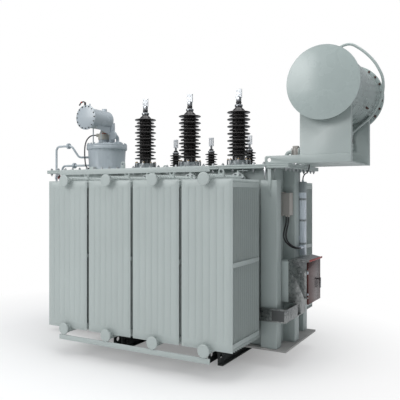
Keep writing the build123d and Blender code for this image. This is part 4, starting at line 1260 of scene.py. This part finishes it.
@dataclass(frozen=True)
class TallTerminal:
    """What stands on a tall bushing: shoulder, ring, ball seal, stem, two clamp jaws and a plate."""

    shoulder: Pairs = (
        (0, -0.001), (0.061, -0.001), (0.0605, 0.003), (0.054, 0.010), (0.044, 0.018), (0.038, 0.025),
        (0.036, 0.032), (0.036, 0.040), (0, 0.040))
    collar: Pairs = (
        (0, 0.036), (0.039, 0.036), (0.042, 0.039), (0.042, 0.052), (0.039, 0.057), (0, 0.057))
    ball: Pairs = (
        (0, 0.057), (0.022, 0.060), (0.0285, 0.070), (0.030, 0.080), (0.0275, 0.090), (0.020, 0.099),
        (0.013, 0.104), (0.013, 0.108), (0, 0.108))
    stem_radius: float = 0.015
    stem_span: tuple[float, float] = (0.100, 0.145)
    jaw_width: float = 0.044
    jaw_gap: float = 0.003
    jaw_depth: float = 0.020
    jaw_drops: tuple[float, float] = (0.126, 0.082)
    jaw_bolt: float = 0.006
    jaw_bolt_offset: float = 0.0145
    plate: TerminalPlate = TerminalPlate(0.070, 0.092, 0.012, hole_offset=0.019, hole_drop=0.040)

    def build(self, node: str) -> None:
        """Build the terminal.

        Args:
            node: The node that it stands for.
        """
        space = Box.of(node)
        foot, top = space.foot, space.high.z
        shoulder, ball, bright = Shape(), Shape(), Shape()
        shoulder.lathe(self.shoulder, foot, steps=56)
        shoulder.piece(f"{node}_shoulder", Finish.GLAZE, smooth=50)
        ball.lathe(self.ball, foot, steps=40)
        ball.piece(f"{node}_seal", Finish.BLACK, smooth=50)
        bright.lathe(self.collar, foot, steps=48)
        stem_low, stem_high = self.stem_span
        bright.rod(foot + Z_AXIS * stem_low, foot + Z_AXIS * stem_high, self.stem_radius, 28)
        half, (low_drop, high_drop) = self.jaw_width / 2, self.jaw_drops
        for near, far in ((-self.jaw_depth, -self.jaw_gap), (self.jaw_gap, self.jaw_depth)):
            bright.box((foot.x - half, foot.y + near, top - low_drop),
                       (foot.x + half, foot.y + far, top - high_drop), 0.003)
        level = top - (low_drop + high_drop) / 2
        heads = [Vector((foot.x + across, foot.y - self.jaw_depth, level))
                 for across in (-self.jaw_bolt_offset, self.jaw_bolt_offset)]
        bright.bolts(heads, -Y_AXIS, self.jaw_bolt, grip=2 * self.jaw_depth)
        self.plate.add_to(bright, Vector((foot.x, foot.y, top)))
        bright.piece(f"{node}_clamp", Finish.TINNED, stands_for=(node,), smooth=40)


@dataclass(frozen=True)
class ShortTerminal:
    """What stands on a short bushing: a ring, a nut, a stem and a plate."""

    collar: Pairs = ((0, 0), (0.037, 0), (0.040, 0.003), (0.040, 0.015), (0.037, 0.018), (0, 0.018))
    nut_radius: float = 0.0265
    nut_span: tuple[float, float] = (0.018, 0.040)
    stem_radius: float = 0.0125
    stem_span: tuple[float, float] = (0.030, 0.082)
    plate: TerminalPlate = TerminalPlate(0.060, 0.100, 0.010, hole_offset=0.016, hole_drop=0.045)

    def add_to(self, bright: Shape, black: Shape, foot: Vector, top: float) -> None:
        """Add the terminal.

        Args:
            bright: The mesh of its metal.
            black: The mesh of its nut.
            foot: The middle of the porcelain's top.
            top: The level of the plate's top edge.
        """
        bright.lathe(self.collar, foot, steps=40)
        low, high = self.nut_span
        black.rod(foot + Z_AXIS * low, foot + Z_AXIS * high, self.nut_radius, 6, bevel=0.002)
        low, high = self.stem_span
        bright.rod(foot + Z_AXIS * low, foot + Z_AXIS * high, self.stem_radius, 24)
        self.plate.add_to(bright, Vector((foot.x, foot.y, top)))


@dataclass
class BushingRow:
    """The tall and the short bushings with their flanges, clamps and terminals."""

    count: int = 3
    tall_flange: Flange = Flange(0.130, 0.098, 0.044)
    short_flange: Flange = Flange(0.070, 0.052, 0.022)
    tall_studs: BoltRing = BoltRing(0.113, 8, 0.010, 22.5)
    short_studs: BoltRing = BoltRing(0.060, 4, 0.008, 45)

    def build(self) -> None:
        """Build every bushing, its flange and its terminal."""
        iron, nuts, brass = Shape(), Shape(), Shape()
        for number in range(1, self.count + 1):
            tall, short = f"hv_bushing_{number}", f"lv_bushing_{number}"
            TALL_BUSHING.build(tall)
            SHORT_BUSHING.build(short)
            tall_foot, short_foot = Box.of(tall).foot, Box.of(short).foot
            self.tall_flange.add_to(iron, tall_foot, TALL_BUSHING.core)
            self.short_flange.add_to(iron, short_foot, SHORT_BUSHING.core)
            for place in self.tall_studs.places(tall_foot, Z_AXIS):
                FingerClamp().add_to(nuts, brass, place, tall_foot)
            self.short_studs.add_to(nuts, short_foot, Z_AXIS)
            TallTerminal().build(f"hv_terminal_{number}")
        iron.piece("bushing_flange_rings", Finish.FLANGE, stands_for=("bushing_flanges",), smooth=40)
        nuts.piece("bushing_clamps", Finish.ZINC)
        brass.piece("bushing_clamp_nuts", Finish.BRASS)
        self.build_short_terminals()

    def build_short_terminals(self) -> None:
        """Build the terminals of the short bushings, in place of their one node."""
        top = Box.of("lv_terminals").high.z
        bright, black = Shape(), Shape()
        for number in range(1, self.count + 1):
            below = Box.of(f"lv_bushing_{number}")
            foot = Vector((below.middle.x, below.middle.y, below.high.z))
            ShortTerminal().add_to(bright, black, foot, top)
        bright.piece("lv_terminal_plates", Finish.TINNED, stands_for=("lv_terminals",), smooth=40)
        black.piece("lv_terminal_seals", Finish.BLACK)


@dataclass(frozen=True)
class NodeFinish:
    """The finish of a node of the frame that is shown with rounded edges."""

    node: str
    finish: AnyFinish
    bevel: float = 0.0015
    body: Body = Body.FIXED


class Carcass:
    """The welded and bolted pieces whose shape the frame already holds, with their edges rounded."""

    PLAN = (
        NodeFinish("base_plate", Finish.BASE, 0.003),
        NodeFinish("skid_left", Finish.SKID, 0.004),
        NodeFinish("skid_right", Finish.SKID, 0.004),
        NodeFinish("tank_shell", Finish.TANK, 0.005),
        NodeFinish("tank_flange", Finish.TANK, 0.002),
        NodeFinish("cover_plate", Finish.TANK, 0.003),
        NodeFinish("side_stiffeners", Finish.TANK, 0.004),
        NodeFinish("corner_boxes", Finish.TANK, 0.005),
        NodeFinish("end_stiffeners", Finish.TANK, 0.004),
        NodeFinish("front_header_valves", Finish.RADIATOR, 0.002),
        NodeFinish("back_header_valves", Finish.RADIATOR, 0.002),
        NodeFinish("front_tie_bars", Finish.RADIATOR, 0.0015),
        NodeFinish("back_tie_bars", Finish.RADIATOR, 0.0015),
        NodeFinish("lifting_lugs", Finish.TANK, 0.002),
        NodeFinish("oltc_drum", Finish.TAP, 0.003),
        NodeFinish("oltc_lid", Finish.TAP, 0.003),
        NodeFinish("oltc_gear_housing", Finish.GEAR, 0.002),
        NodeFinish("oltc_elbow", Finish.TAP, 0.002),
        NodeFinish("oltc_struts", Finish.TAP, 0.001),
        NodeFinish("oltc_oil_pipes", Finish.TAP, 0.0012),
        NodeFinish("oltc_conservator", Finish.TAP, 0.003),
        NodeFinish("conservator_barrel", Finish.CONSERVATOR, 0.003),
        NodeFinish("conservator_flange", Finish.CONSERVATOR, 0.004),
        NodeFinish("conservator_front_bracket", Finish.TANK, 0.0025),
        NodeFinish("conservator_back_bracket", Finish.TANK, 0.0025),
        NodeFinish("conservator_floor", Finish.TANK, 0.002),
        NodeFinish("breather_pipe", Finish.TANK, 0.001),
        NodeFinish("buchholz_relay", Finish.RELAY, 0.002),
        NodeFinish("buchholz_pipe", Finish.TANK, 0.0015),
        NodeFinish("cable_duct", Finish.STAINLESS, 0.002),
        NodeFinish("cable_tray", Finish.GALVANIZED, 0.002),
        NodeFinish("terminal_box", Finish.RELAY, 0.002),
        NodeFinish("cabinet_bracket", Finish.TANK, 0.002),
        NodeFinish("cabinet_body", Finish.GALVANIZED, 0.0015),
        NodeFinish("cabinet_roof", Finish.GALVANIZED, 0.0015),
        # The door's finish carries a painted reflection in its dark reddish brown.
        NodeFinish("cabinet_door", Finish.DOOR, 0.0015, Body.DOOR),
        NodeFinish("cabinet_handle", Finish.TINNED, 0.0015, Body.HANDLE),
    )

    def __init__(self, nodes: dict[str, bpy.types.Object]) -> None:
        """Take the nodes of the frame.

        Args:
            nodes: The nodes, by name.
        """
        self.nodes = nodes

    def build(self) -> None:
        """Build a rounded and finished piece for each node on the plan."""
        for entry in self.PLAN:
            shape = Shape()
            shape.node_copy(self.nodes[entry.node], entry.bevel)
            shape.piece(f"{entry.node}_dressed", entry.finish, entry.body, (entry.node,), 40)


@dataclass
class Fasteners:
    """The bolts of the cover, the header valves, the tap changer, the oil vessel and the conservator."""

    cover_bolt: float = 0.016
    cover_thread_out: float = 0.9
    cover_thickness: float = 0.020
    cover_pitch: float = 0.112
    cover_inset: float = 0.045
    lug_clearance: float = 0.030
    valve_ring: BoltRing = BoltRing(0.066, 8, 0.012, 22.5)
    valve_inset: float = 0.053
    valve_grip: float = 0.036
    lid_ring: BoltRing = BoltRing(0.238, 24, 0.012)
    lid_rim: float = 0.016
    drum_rim: float = 0.045
    drum_foot_ring: BoltRing = BoltRing(0.2495, 20, 0.010, 9)
    drum_foot: float = 0.022
    vessel_ring: BoltRing = BoltRing(0.134, 16, 0.008)
    vessel_axis: float = 0.147
    vessel_rim: float = 0.016
    conservator_ring: BoltRing = BoltRing(0.337, 24, 0.012, 7.5)
    plug_angle: float = -33
    plug_reach: float = 0.324
    plug_places: tuple[float, float] = (-0.020, 0.025)

    def cover_places(self) -> list[Vector]:
        """Give the places of the cover's bolts.

        Returns:
            The places on top of the cover.
        """
        cover, lug = Box.of("cover_plate"), Box.of("lifting_lugs")
        top = Box.of("tank_flange").high.z + self.cover_thickness
        west, east = cover.low.x + self.cover_inset, cover.high.x - self.cover_inset
        south, north = cover.low.y + self.cover_inset, cover.high.y - self.cover_inset
        along = spread(west, east, round((east - west) / self.cover_pitch) + 1)
        across = spread(south, north, round((north - south) / self.cover_pitch) + 1)[1:-1]
        clear_from, clear_to = lug.low.x - self.lug_clearance, lug.high.x + self.lug_clearance
        places = [Vector((x, y, top)) for x in along for y in (south, north)
                  if not clear_from < x < clear_to]
        return places + [Vector((x, y, top)) for x in (west, east) for y in across]

    def valve_places(self, facing: Facing) -> list[Vector]:
        """Give the places of the bolts through the header valves' flanges.

        Args:
            facing: The side of the tank.

        Returns:
            The places on the outer face of each pair of flanges.
        """
        radiators = Radiators()
        valves = Box.of(f"{facing.row}_header_valves")
        wall_end = (valves.low if facing is Facing.BACK else valves.high).y
        line = wall_end + facing.value * (self.valve_inset + self.valve_grip)
        places = []
        for node in radiators.nodes(facing):
            space = Box.of(node)
            for level in radiators.header_levels(space):
                places.extend(self.valve_ring.places(Vector((space.middle.x, line, level)), Y_AXIS))
        return places

    def build(self) -> None:
        """Build the bolts as one piece for each sort of finish."""
        self.build_conservator_bolts()
        self.build_plated_bolts()
        self.build_tap_changer_bolts()

    def build_conservator_bolts(self) -> None:
        """Build the bolts of the conservator's back flange and the two plugs low on its barrel."""
        flange, barrel = Box.of("conservator_flange"), Box.of("conservator_barrel")
        rusty = Shape()
        face = Vector((flange.middle.x, flange.low.y, flange.middle.z))
        self.conservator_ring.add_to(rusty, face, -Y_AXIS, grip=flange.size.y)
        angle = math.radians(self.plug_angle)
        out = Vector((math.cos(angle), 0, math.sin(angle)))
        plugs = [Vector((barrel.middle.x, y, barrel.middle.z)) + out * self.plug_reach
                 for y in self.plug_places]
        rusty.bolts(plugs, out, self.conservator_ring.thread)
        rusty.piece("conservator_bolts", Finish.RUSTY, smooth=40)

    def build_plated_bolts(self) -> None:
        """Build the bolts of the cover, above and below it, and of the header valves."""
        zinc = Shape()
        above = self.cover_places()
        under = Box.of("tank_flange").low.z
        zinc.bolts(above, Z_AXIS, self.cover_bolt)
        zinc.bolts([Vector((place.x, place.y, under)) for place in above], -Z_AXIS, self.cover_bolt,
                   shank=self.cover_thread_out)
        for facing in Facing:
            zinc.bolts(self.valve_places(facing), Y_AXIS * facing.value, self.valve_ring.thread,
                       grip=self.valve_grip)
        zinc.piece("plated_bolts", Finish.ZINC, smooth=40)

    def build_tap_changer_bolts(self) -> None:
        """Build the bolts of the tap changer's lid and foot, and of its oil vessel's rim."""
        lid, drum, vessel = Box.of("oltc_lid"), Box.of("oltc_drum"), Box.of("oltc_conservator")
        painted, dark = Shape(), Shape()
        x, y = lid.middle.x, lid.middle.y
        self.lid_ring.add_to(painted, Vector((x, y, lid.low.z + self.lid_rim)), Z_AXIS,
                             grip=self.lid_rim + self.drum_rim)
        self.drum_foot_ring.add_to(painted, Vector((x, y, drum.low.z + self.drum_foot)), Z_AXIS)
        painted.piece("painted_bolts", Finish.TAP, smooth=40)
        rim = Vector((vessel.middle.x, vessel.low.y, vessel.low.z + self.vessel_axis))
        self.vessel_ring.add_to(dark, rim, -Y_AXIS, grip=self.vessel_rim)
        dark.piece("vessel_rim_bolts", Finish.DARK_IRON, smooth=40)


@dataclass
class Fittings:
    """The loose small pieces: strap, gusset, oil valves, the vessel's filler and the breather's union."""

    strap_inset: float = 0.25075
    strap_width: float = 0.018
    strap_drop: float = 0.105
    strap_bolt_level: float = 0.015
    gusset_inset: float = 0.18375
    gusset_setback: float = 0.0135
    gusset_thickness: float = 0.010
    gusset_outline: Pairs = ((0.041, -0.002), (0, -0.002), (0.007, 0.245), (0.014, 0.271), (0.020, 0.245))
    oil_valve_line: float = 0.035
    oil_valves: Pairs = ((-0.284, 1.896), (-0.181, 1.780))
    wheel_outline: Pairs = (
        (0, 0.046), (0.010, 0.046), (0.010, 0.050), (0.020, 0.051), (0.024, 0.047), (0.028, 0.048),
        (0.030, 0.052), (0.028, 0.056), (0.024, 0.057), (0.020, 0.054), (0, 0.055))
    filler_place: Point = (-0.018, 0.012, 0.290)
    filler_height: float = 0.040
    spout_radius: float = 0.008
    spout: tuple[Point, ...] = (
        (0, 0, 0.034), (-0.020, -0.004, 0.050), (-0.052, -0.010, 0.040), (-0.080, -0.012, 0.006))
    cap_span: tuple[Point, Point] = ((-0.040, -0.008, 0.044), (-0.054, -0.010, 0.038))
    mark_corner: float = 0.076
    mark_level: float = 0.075
    mark_radius: float = 0.060
    mark_angles: range = range(-95, -24, 7)
    union_place: Point = (0.20975, -0.026, 0.096)
    union_reach: float = 0.037

    def build(self) -> None:
        """Build every fitting."""
        self.build_cover_hangers()
        self.build_oil_valves()
        self.build_vessel_filler()
        self.build_breather_union()

    def build_cover_hangers(self) -> None:
        """Build the strap and the tapered gusset under the cover's front edge."""
        flange = Box.of("tank_flange")
        strap, gusset = Shape(), Shape()
        left, front = flange.high.x - self.strap_inset, flange.low.y
        strap.box((left, front - 0.003, flange.low.z - self.strap_drop),
                  (left + self.strap_width, front + 0.001, flange.high.z), 0.001)
        middle, level = left + self.strap_width / 2, flange.low.z + self.strap_bolt_level
        strap.rod((middle, front - 0.001, level), (middle, front - 0.009, level), 0.009, 6)
        strap.piece("cover_strap", Finish.ZINC)
        right, face = flange.high.x - self.gusset_inset, front + self.gusset_setback
        corners = [(right - inside, face, flange.low.z - below) for inside, below in self.gusset_outline]
        gusset.prism(corners, (0, self.gusset_thickness, 0), 0.001)
        gusset.piece("cover_gusset", Finish.TANK)

    def build_oil_valves(self) -> None:
        """Build the hand wheels on the oil pipes beside the left wall."""
        line = Box.of("oltc_oil_pipes").low.x + self.oil_valve_line
        wheels, stems = Shape(), Shape()
        for across, level in self.oil_valves:
            stems.rod((line, across, level), (line + 0.054, across, level), 0.006, 12)
            stems.rod((line - 0.004, across, level - 0.024), (line - 0.004, across, level + 0.024),
                      0.0175, 24, bevel=0.002)
            wheels.lathe(self.wheel_outline, (line, across, level), X_AXIS, 28)
        stems.piece("oil_valve_stems", Finish.TAP)
        wheels.piece("oil_valve_wheels", Finish.RED)

    def build_vessel_filler(self) -> None:
        """Build the filler on the small oil vessel's front rim and the red mark on the gear housing."""
        vessel, gear = Box.of("oltc_conservator"), Box.of("oltc_gear_housing")
        black, red = Shape(), Shape()
        foot = Vector((vessel.middle.x, vessel.low.y, vessel.low.z)) + Vector(self.filler_place)
        black.rod(foot, foot + Z_AXIS * self.filler_height, 0.012, 20, bevel=0.002)
        black.pipe([foot + Vector(step) for step in self.spout], self.spout_radius, 0.03)
        start, end = [foot + Vector(step) for step in self.cap_span]
        red.rod(start, end, 0.0105, 20, bevel=0.001)
        centre = Vector((gear.high.x - self.mark_corner, gear.high.y - self.mark_corner,
                         gear.low.z + self.mark_level))
        turns = [math.radians(angle) for angle in self.mark_angles]
        arc = [centre + Vector((math.cos(a), math.sin(a), 0)) * self.mark_radius for a in turns]
        red.sweep(arc, 0.006, 10)
        black.piece("vessel_filler", Finish.BLACK)
        red.piece("tap_changer_marks", Finish.RED)

    def build_breather_union(self) -> None:
        """Build the union at the breather pipe's lower end."""
        pipe = Box.of("breather_pipe")
        middle = Vector((pipe.low.x, pipe.high.y, pipe.low.z)) + Vector(self.union_place)
        nut, half = Shape(), Vector((0, 0, 0.018))
        nut.rod(middle, middle - X_AXIS * self.union_reach, 0.011, 6, bevel=0.001)
        nut.rod(middle - half, middle + half, 0.0175, 24, bevel=0.002)
        nut.piece("breather_union", Finish.RUSTY)


@dataclass
class EndGear:
    """The small trim on the right end wall: duct clamps and a grey sleeve of painted shadow, box screws, a
    dark sheet of painted shade in the tray's mouth and cabinet trim.
    """

    duct_side: float = 0.055
    # The levels of the grey sleeve at the duct's top: painted shadow of the cover over it.
    shadow_sleeve_levels: tuple[float, float] = (1.700, 1.812)
    clamp_levels: tuple[float, ...] = (1.160, 1.400, 1.620)
    clamp_height: float = 0.020
    clamp_rise: float = 0.002
    clamp_screw: float = 0.006
    box_screw_sides: tuple[float, float] = (0.0125, 0.0095)
    box_screw_levels: tuple[float, float] = (0.030, 0.020)
    tray_mouth: float = 1.085
    tray_screws: tuple[float, ...] = (-0.46, -0.30, -0.14)
    tray_screw_level: float = 0.100
    wall_inset: float = 0.017
    rivets: Pairs = ((0.056, 0.306), (0.045, 0.263), (0.128, 0.311), (0.116, 0.279))
    eave_height: float = 0.020
    hinge_levels: tuple[float, float] = (0.700, 0.930)
    knuckle_place: tuple[float, float] = (0.006, 0.012)
    knuckle_length: float = 0.044
    knuckle_radius: float = 0.005

    def build(self) -> None:
        """Build the trim of each box, duct and tray."""
        self.trim_duct()
        self.trim_terminal_box()
        self.trim_tray()
        self.trim_cabinet()

    def add_screws(self, shape: Shape, places: list[Vector], radius: float) -> None:
        """Add round screw heads that face the right end.

        Args:
            shape: The mesh that takes them.
            places: Where their heads rest.
            radius: The radius of a head.
        """
        for place in places:
            shape.rod(place, place + X_AXIS * 0.004, radius, 12, bevel=0.0008)

    def trim_duct(self) -> None:
        """Add a grey sleeve at the cable duct's top, painted shadow of the cover, and the duct's clamps with
        their screws.
        """
        duct = Box.of("cable_duct")
        left, right = duct.high.x - self.duct_side, duct.high.x
        near, far = duct.high.y - self.duct_side, duct.high.y
        shadow_sleeve_low, shadow_sleeve_high = self.shadow_sleeve_levels
        rise, half = self.clamp_rise, self.duct_side / 2
        clamps, screws = Shape(), Shape()
        # A darker grey sleeve round the duct's top: painted shadow of the cover.
        clamps.box((left - 0.0015, near - 0.0015, shadow_sleeve_low), (right + 0.0015, far + 0.0015, shadow_sleeve_high),
                   0.001)
        for level in self.clamp_levels:
            top = level + self.clamp_height
            clamps.box((left - rise, near - rise, level), (right + rise, far + rise, top), 0.001)
            middle = (level + top) / 2
            screws.bolts([Vector((left + half, near - rise, middle))], -Y_AXIS, self.clamp_screw)
            screws.bolts([Vector((right + rise, near + half, middle))], X_AXIS, self.clamp_screw)
        clamps.piece("duct_clamps_and_shadow_sleeve", Finish.FLANGE)
        screws.piece("duct_screws", Finish.ZINC)

    def trim_terminal_box(self) -> None:
        """Add the four screws of the terminal box's lid."""
        box = Box.of("terminal_box")
        near, far = self.box_screw_sides
        low, high = self.box_screw_levels
        screws = Shape()
        places = [Vector((box.high.x - 0.001, y, z)) for y in (box.low.y + near, box.high.y - far)
                  for z in (box.low.z + low, box.high.z - high)]
        self.add_screws(screws, places, 0.0055)
        screws.piece("terminal_box_screws", Finish.ZINC)

    def trim_tray(self) -> None:
        """Add a dark grey sheet across the tray's mouth, painted shade of its hollow inside, and the screws
        of its cover.
        """
        tray = Box.of("cable_tray")
        mouth_shade, screws = Shape(), Shape()
        # A dark sheet across the tray's mouth: painted shade where its hollow inside lies in shadow.
        mouth_shade.box((self.tray_mouth, tray.low.y - 0.001, tray.low.z + 0.012),
                   (tray.high.x - 0.014, tray.low.y + 0.002, tray.high.z - 0.012), 0.0008)
        mouth_shade.piece("tray_mouth_painted_shade", Finish.SHADED)
        level = tray.low.z + self.tray_screw_level
        self.add_screws(screws, [Vector((tray.high.x - 0.001, y, level)) for y in self.tray_screws], 0.006)
        screws.piece("tray_screws", Finish.ZINC)

    def trim_cabinet(self) -> None:
        """Add the cabinet's rivets, its red eave and the knuckles of its door's hinges."""
        body, roof, door = Box.of("cabinet_body"), Box.of("cabinet_roof"), Box.of("cabinet_door")
        rivets, eave, knuckles = Shape(), Shape(), Shape()
        wall = body.low.y + self.wall_inset
        for across, up in self.rivets:
            place = Vector((body.low.x + across, wall + 0.001, body.low.z + up))
            rivets.rod(place, place - Y_AXIS * 0.004, 0.006, 16, end_radius=0.003, bevel=0.0005)
        rivets.piece("cabinet_rivets", Finish.ZINC)
        eave.box((roof.high.x - 0.002, roof.low.y + 0.004, roof.low.z + 0.001),
                 (roof.high.x + 0.0012, roof.high.y - 0.004, roof.low.z + self.eave_height), 0.0008)
        eave.piece("cabinet_eave", Finish.RED)
        back, side = self.knuckle_place
        half = Z_AXIS * (self.knuckle_length / 2)
        for level in self.hinge_levels:
            middle = Vector((door.high.x - back, door.low.y + side, level))
            knuckles.rod(middle - half, middle + half, self.knuckle_radius, 16, bevel=0.0008)
        knuckles.piece("cabinet_hinge_knuckles", Finish.STAINLESS, Body.DOOR)


@dataclass(frozen=True)
class Cord:
    """One free cable: the node that it stands for, its thickness and the points that steer it."""

    node: str
    diameter: float
    length: float
    route: tuple[Point, ...]

    def build(self) -> None:
        data = bpy.data.curves.new(self.node, "CURVE")
        data.dimensions = "3D"
        data.bevel_depth = self.diameter / 2
        data.bevel_resolution = 6
        data.use_fill_caps = True
        line = data.splines.new("NURBS")
        line.points.add(len(self.route) - 1)
        for point, place in zip(line.points, self.route):
            point.co = (*place, 1)
        line.order_u = 3
        line.use_endpoint_u = True
        line.resolution_u = 12
        data.materials.append(Finish.material(Finish.RUBBER))
        cord = bpy.data.objects.new(f"{self.node}_sheath", data)
        bpy.context.scene.collection.objects.link(cord)
        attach(cord, Body.FIXED.value)
        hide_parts(self.node)


TERMINAL_ROUTE = (
    (1.11825, -0.1911, 1.453), (1.11825, -0.1911, 1.393), (1.11925, -0.2431, 1.335),
    (1.12225, -0.2831, 1.273), (1.13515, -0.2791, 1.217), (1.1605, -0.2331, 1.173),
    (1.1901, -0.1791, 1.145), (1.20275, -0.124, 1.134), (1.20275, -0.074, 1.134))
TERMINAL_PITCH = 0.024
CORDS = (
    Cord("terminal_cable_1", 0.016, 0.505, TERMINAL_ROUTE),
    Cord("terminal_cable_2", 0.016, 0.505, tuple((x + TERMINAL_PITCH, y, z) for x, y, z in TERMINAL_ROUTE)),
    Cord("relay_cable", 0.012, 0.482, (
        (1.21475, 0.0435, 1.830), (1.21475, 0.0435, 1.854), (1.22825, 0.0485, 1.888),
        (1.26875, 0.0575, 1.913), (1.27775, 0.0655, 1.981), (1.27275, 0.0755, 2.047),
        (1.24875, 0.0955, 2.105), (1.22275, 0.1095, 2.139), (1.19425, 0.1065, 2.161),
        (1.16825, 0.0895, 2.169), (1.15425, 0.062, 2.171), (1.15425, 0.027, 2.171))),
    Cord("tap_changer_cable", 0.016, 0.634, (
        (-1.44805, -0.0693, 2.427), (-1.47355, -0.0948, 2.427), (-1.49775, -0.121, 2.415),
        (-1.51275, -0.147, 2.390), (-1.52175, -0.172, 2.353), (-1.52575, -0.189, 2.308),
        (-1.52475, -0.199, 2.259), (-1.51975, -0.207, 2.206), (-1.50875, -0.218, 2.153),
        (-1.49075, -0.233, 2.103), (-1.46775, -0.252, 2.059), (-1.44075, -0.272, 2.025),
        (-1.40975, -0.289, 2.003), (-1.37575, -0.300, 1.995), (-1.33875, -0.300, 1.995))),
)


def main() -> None:
    """Build the studio and each sub-assembly in order."""
    logging.basicConfig(level=logging.INFO, format="%(message)s")
    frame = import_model()
    Studio().build(Box.of("tank_shell").middle.x)
    Carcass(frame["nodes"]).build()
    Radiators().build()
    BushingRow().build()
    Fasteners().build()
    EndGear().build()
    Fittings().build()
    for cord in CORDS:
        cord.build()


if __name__ == "__main__":
    main()
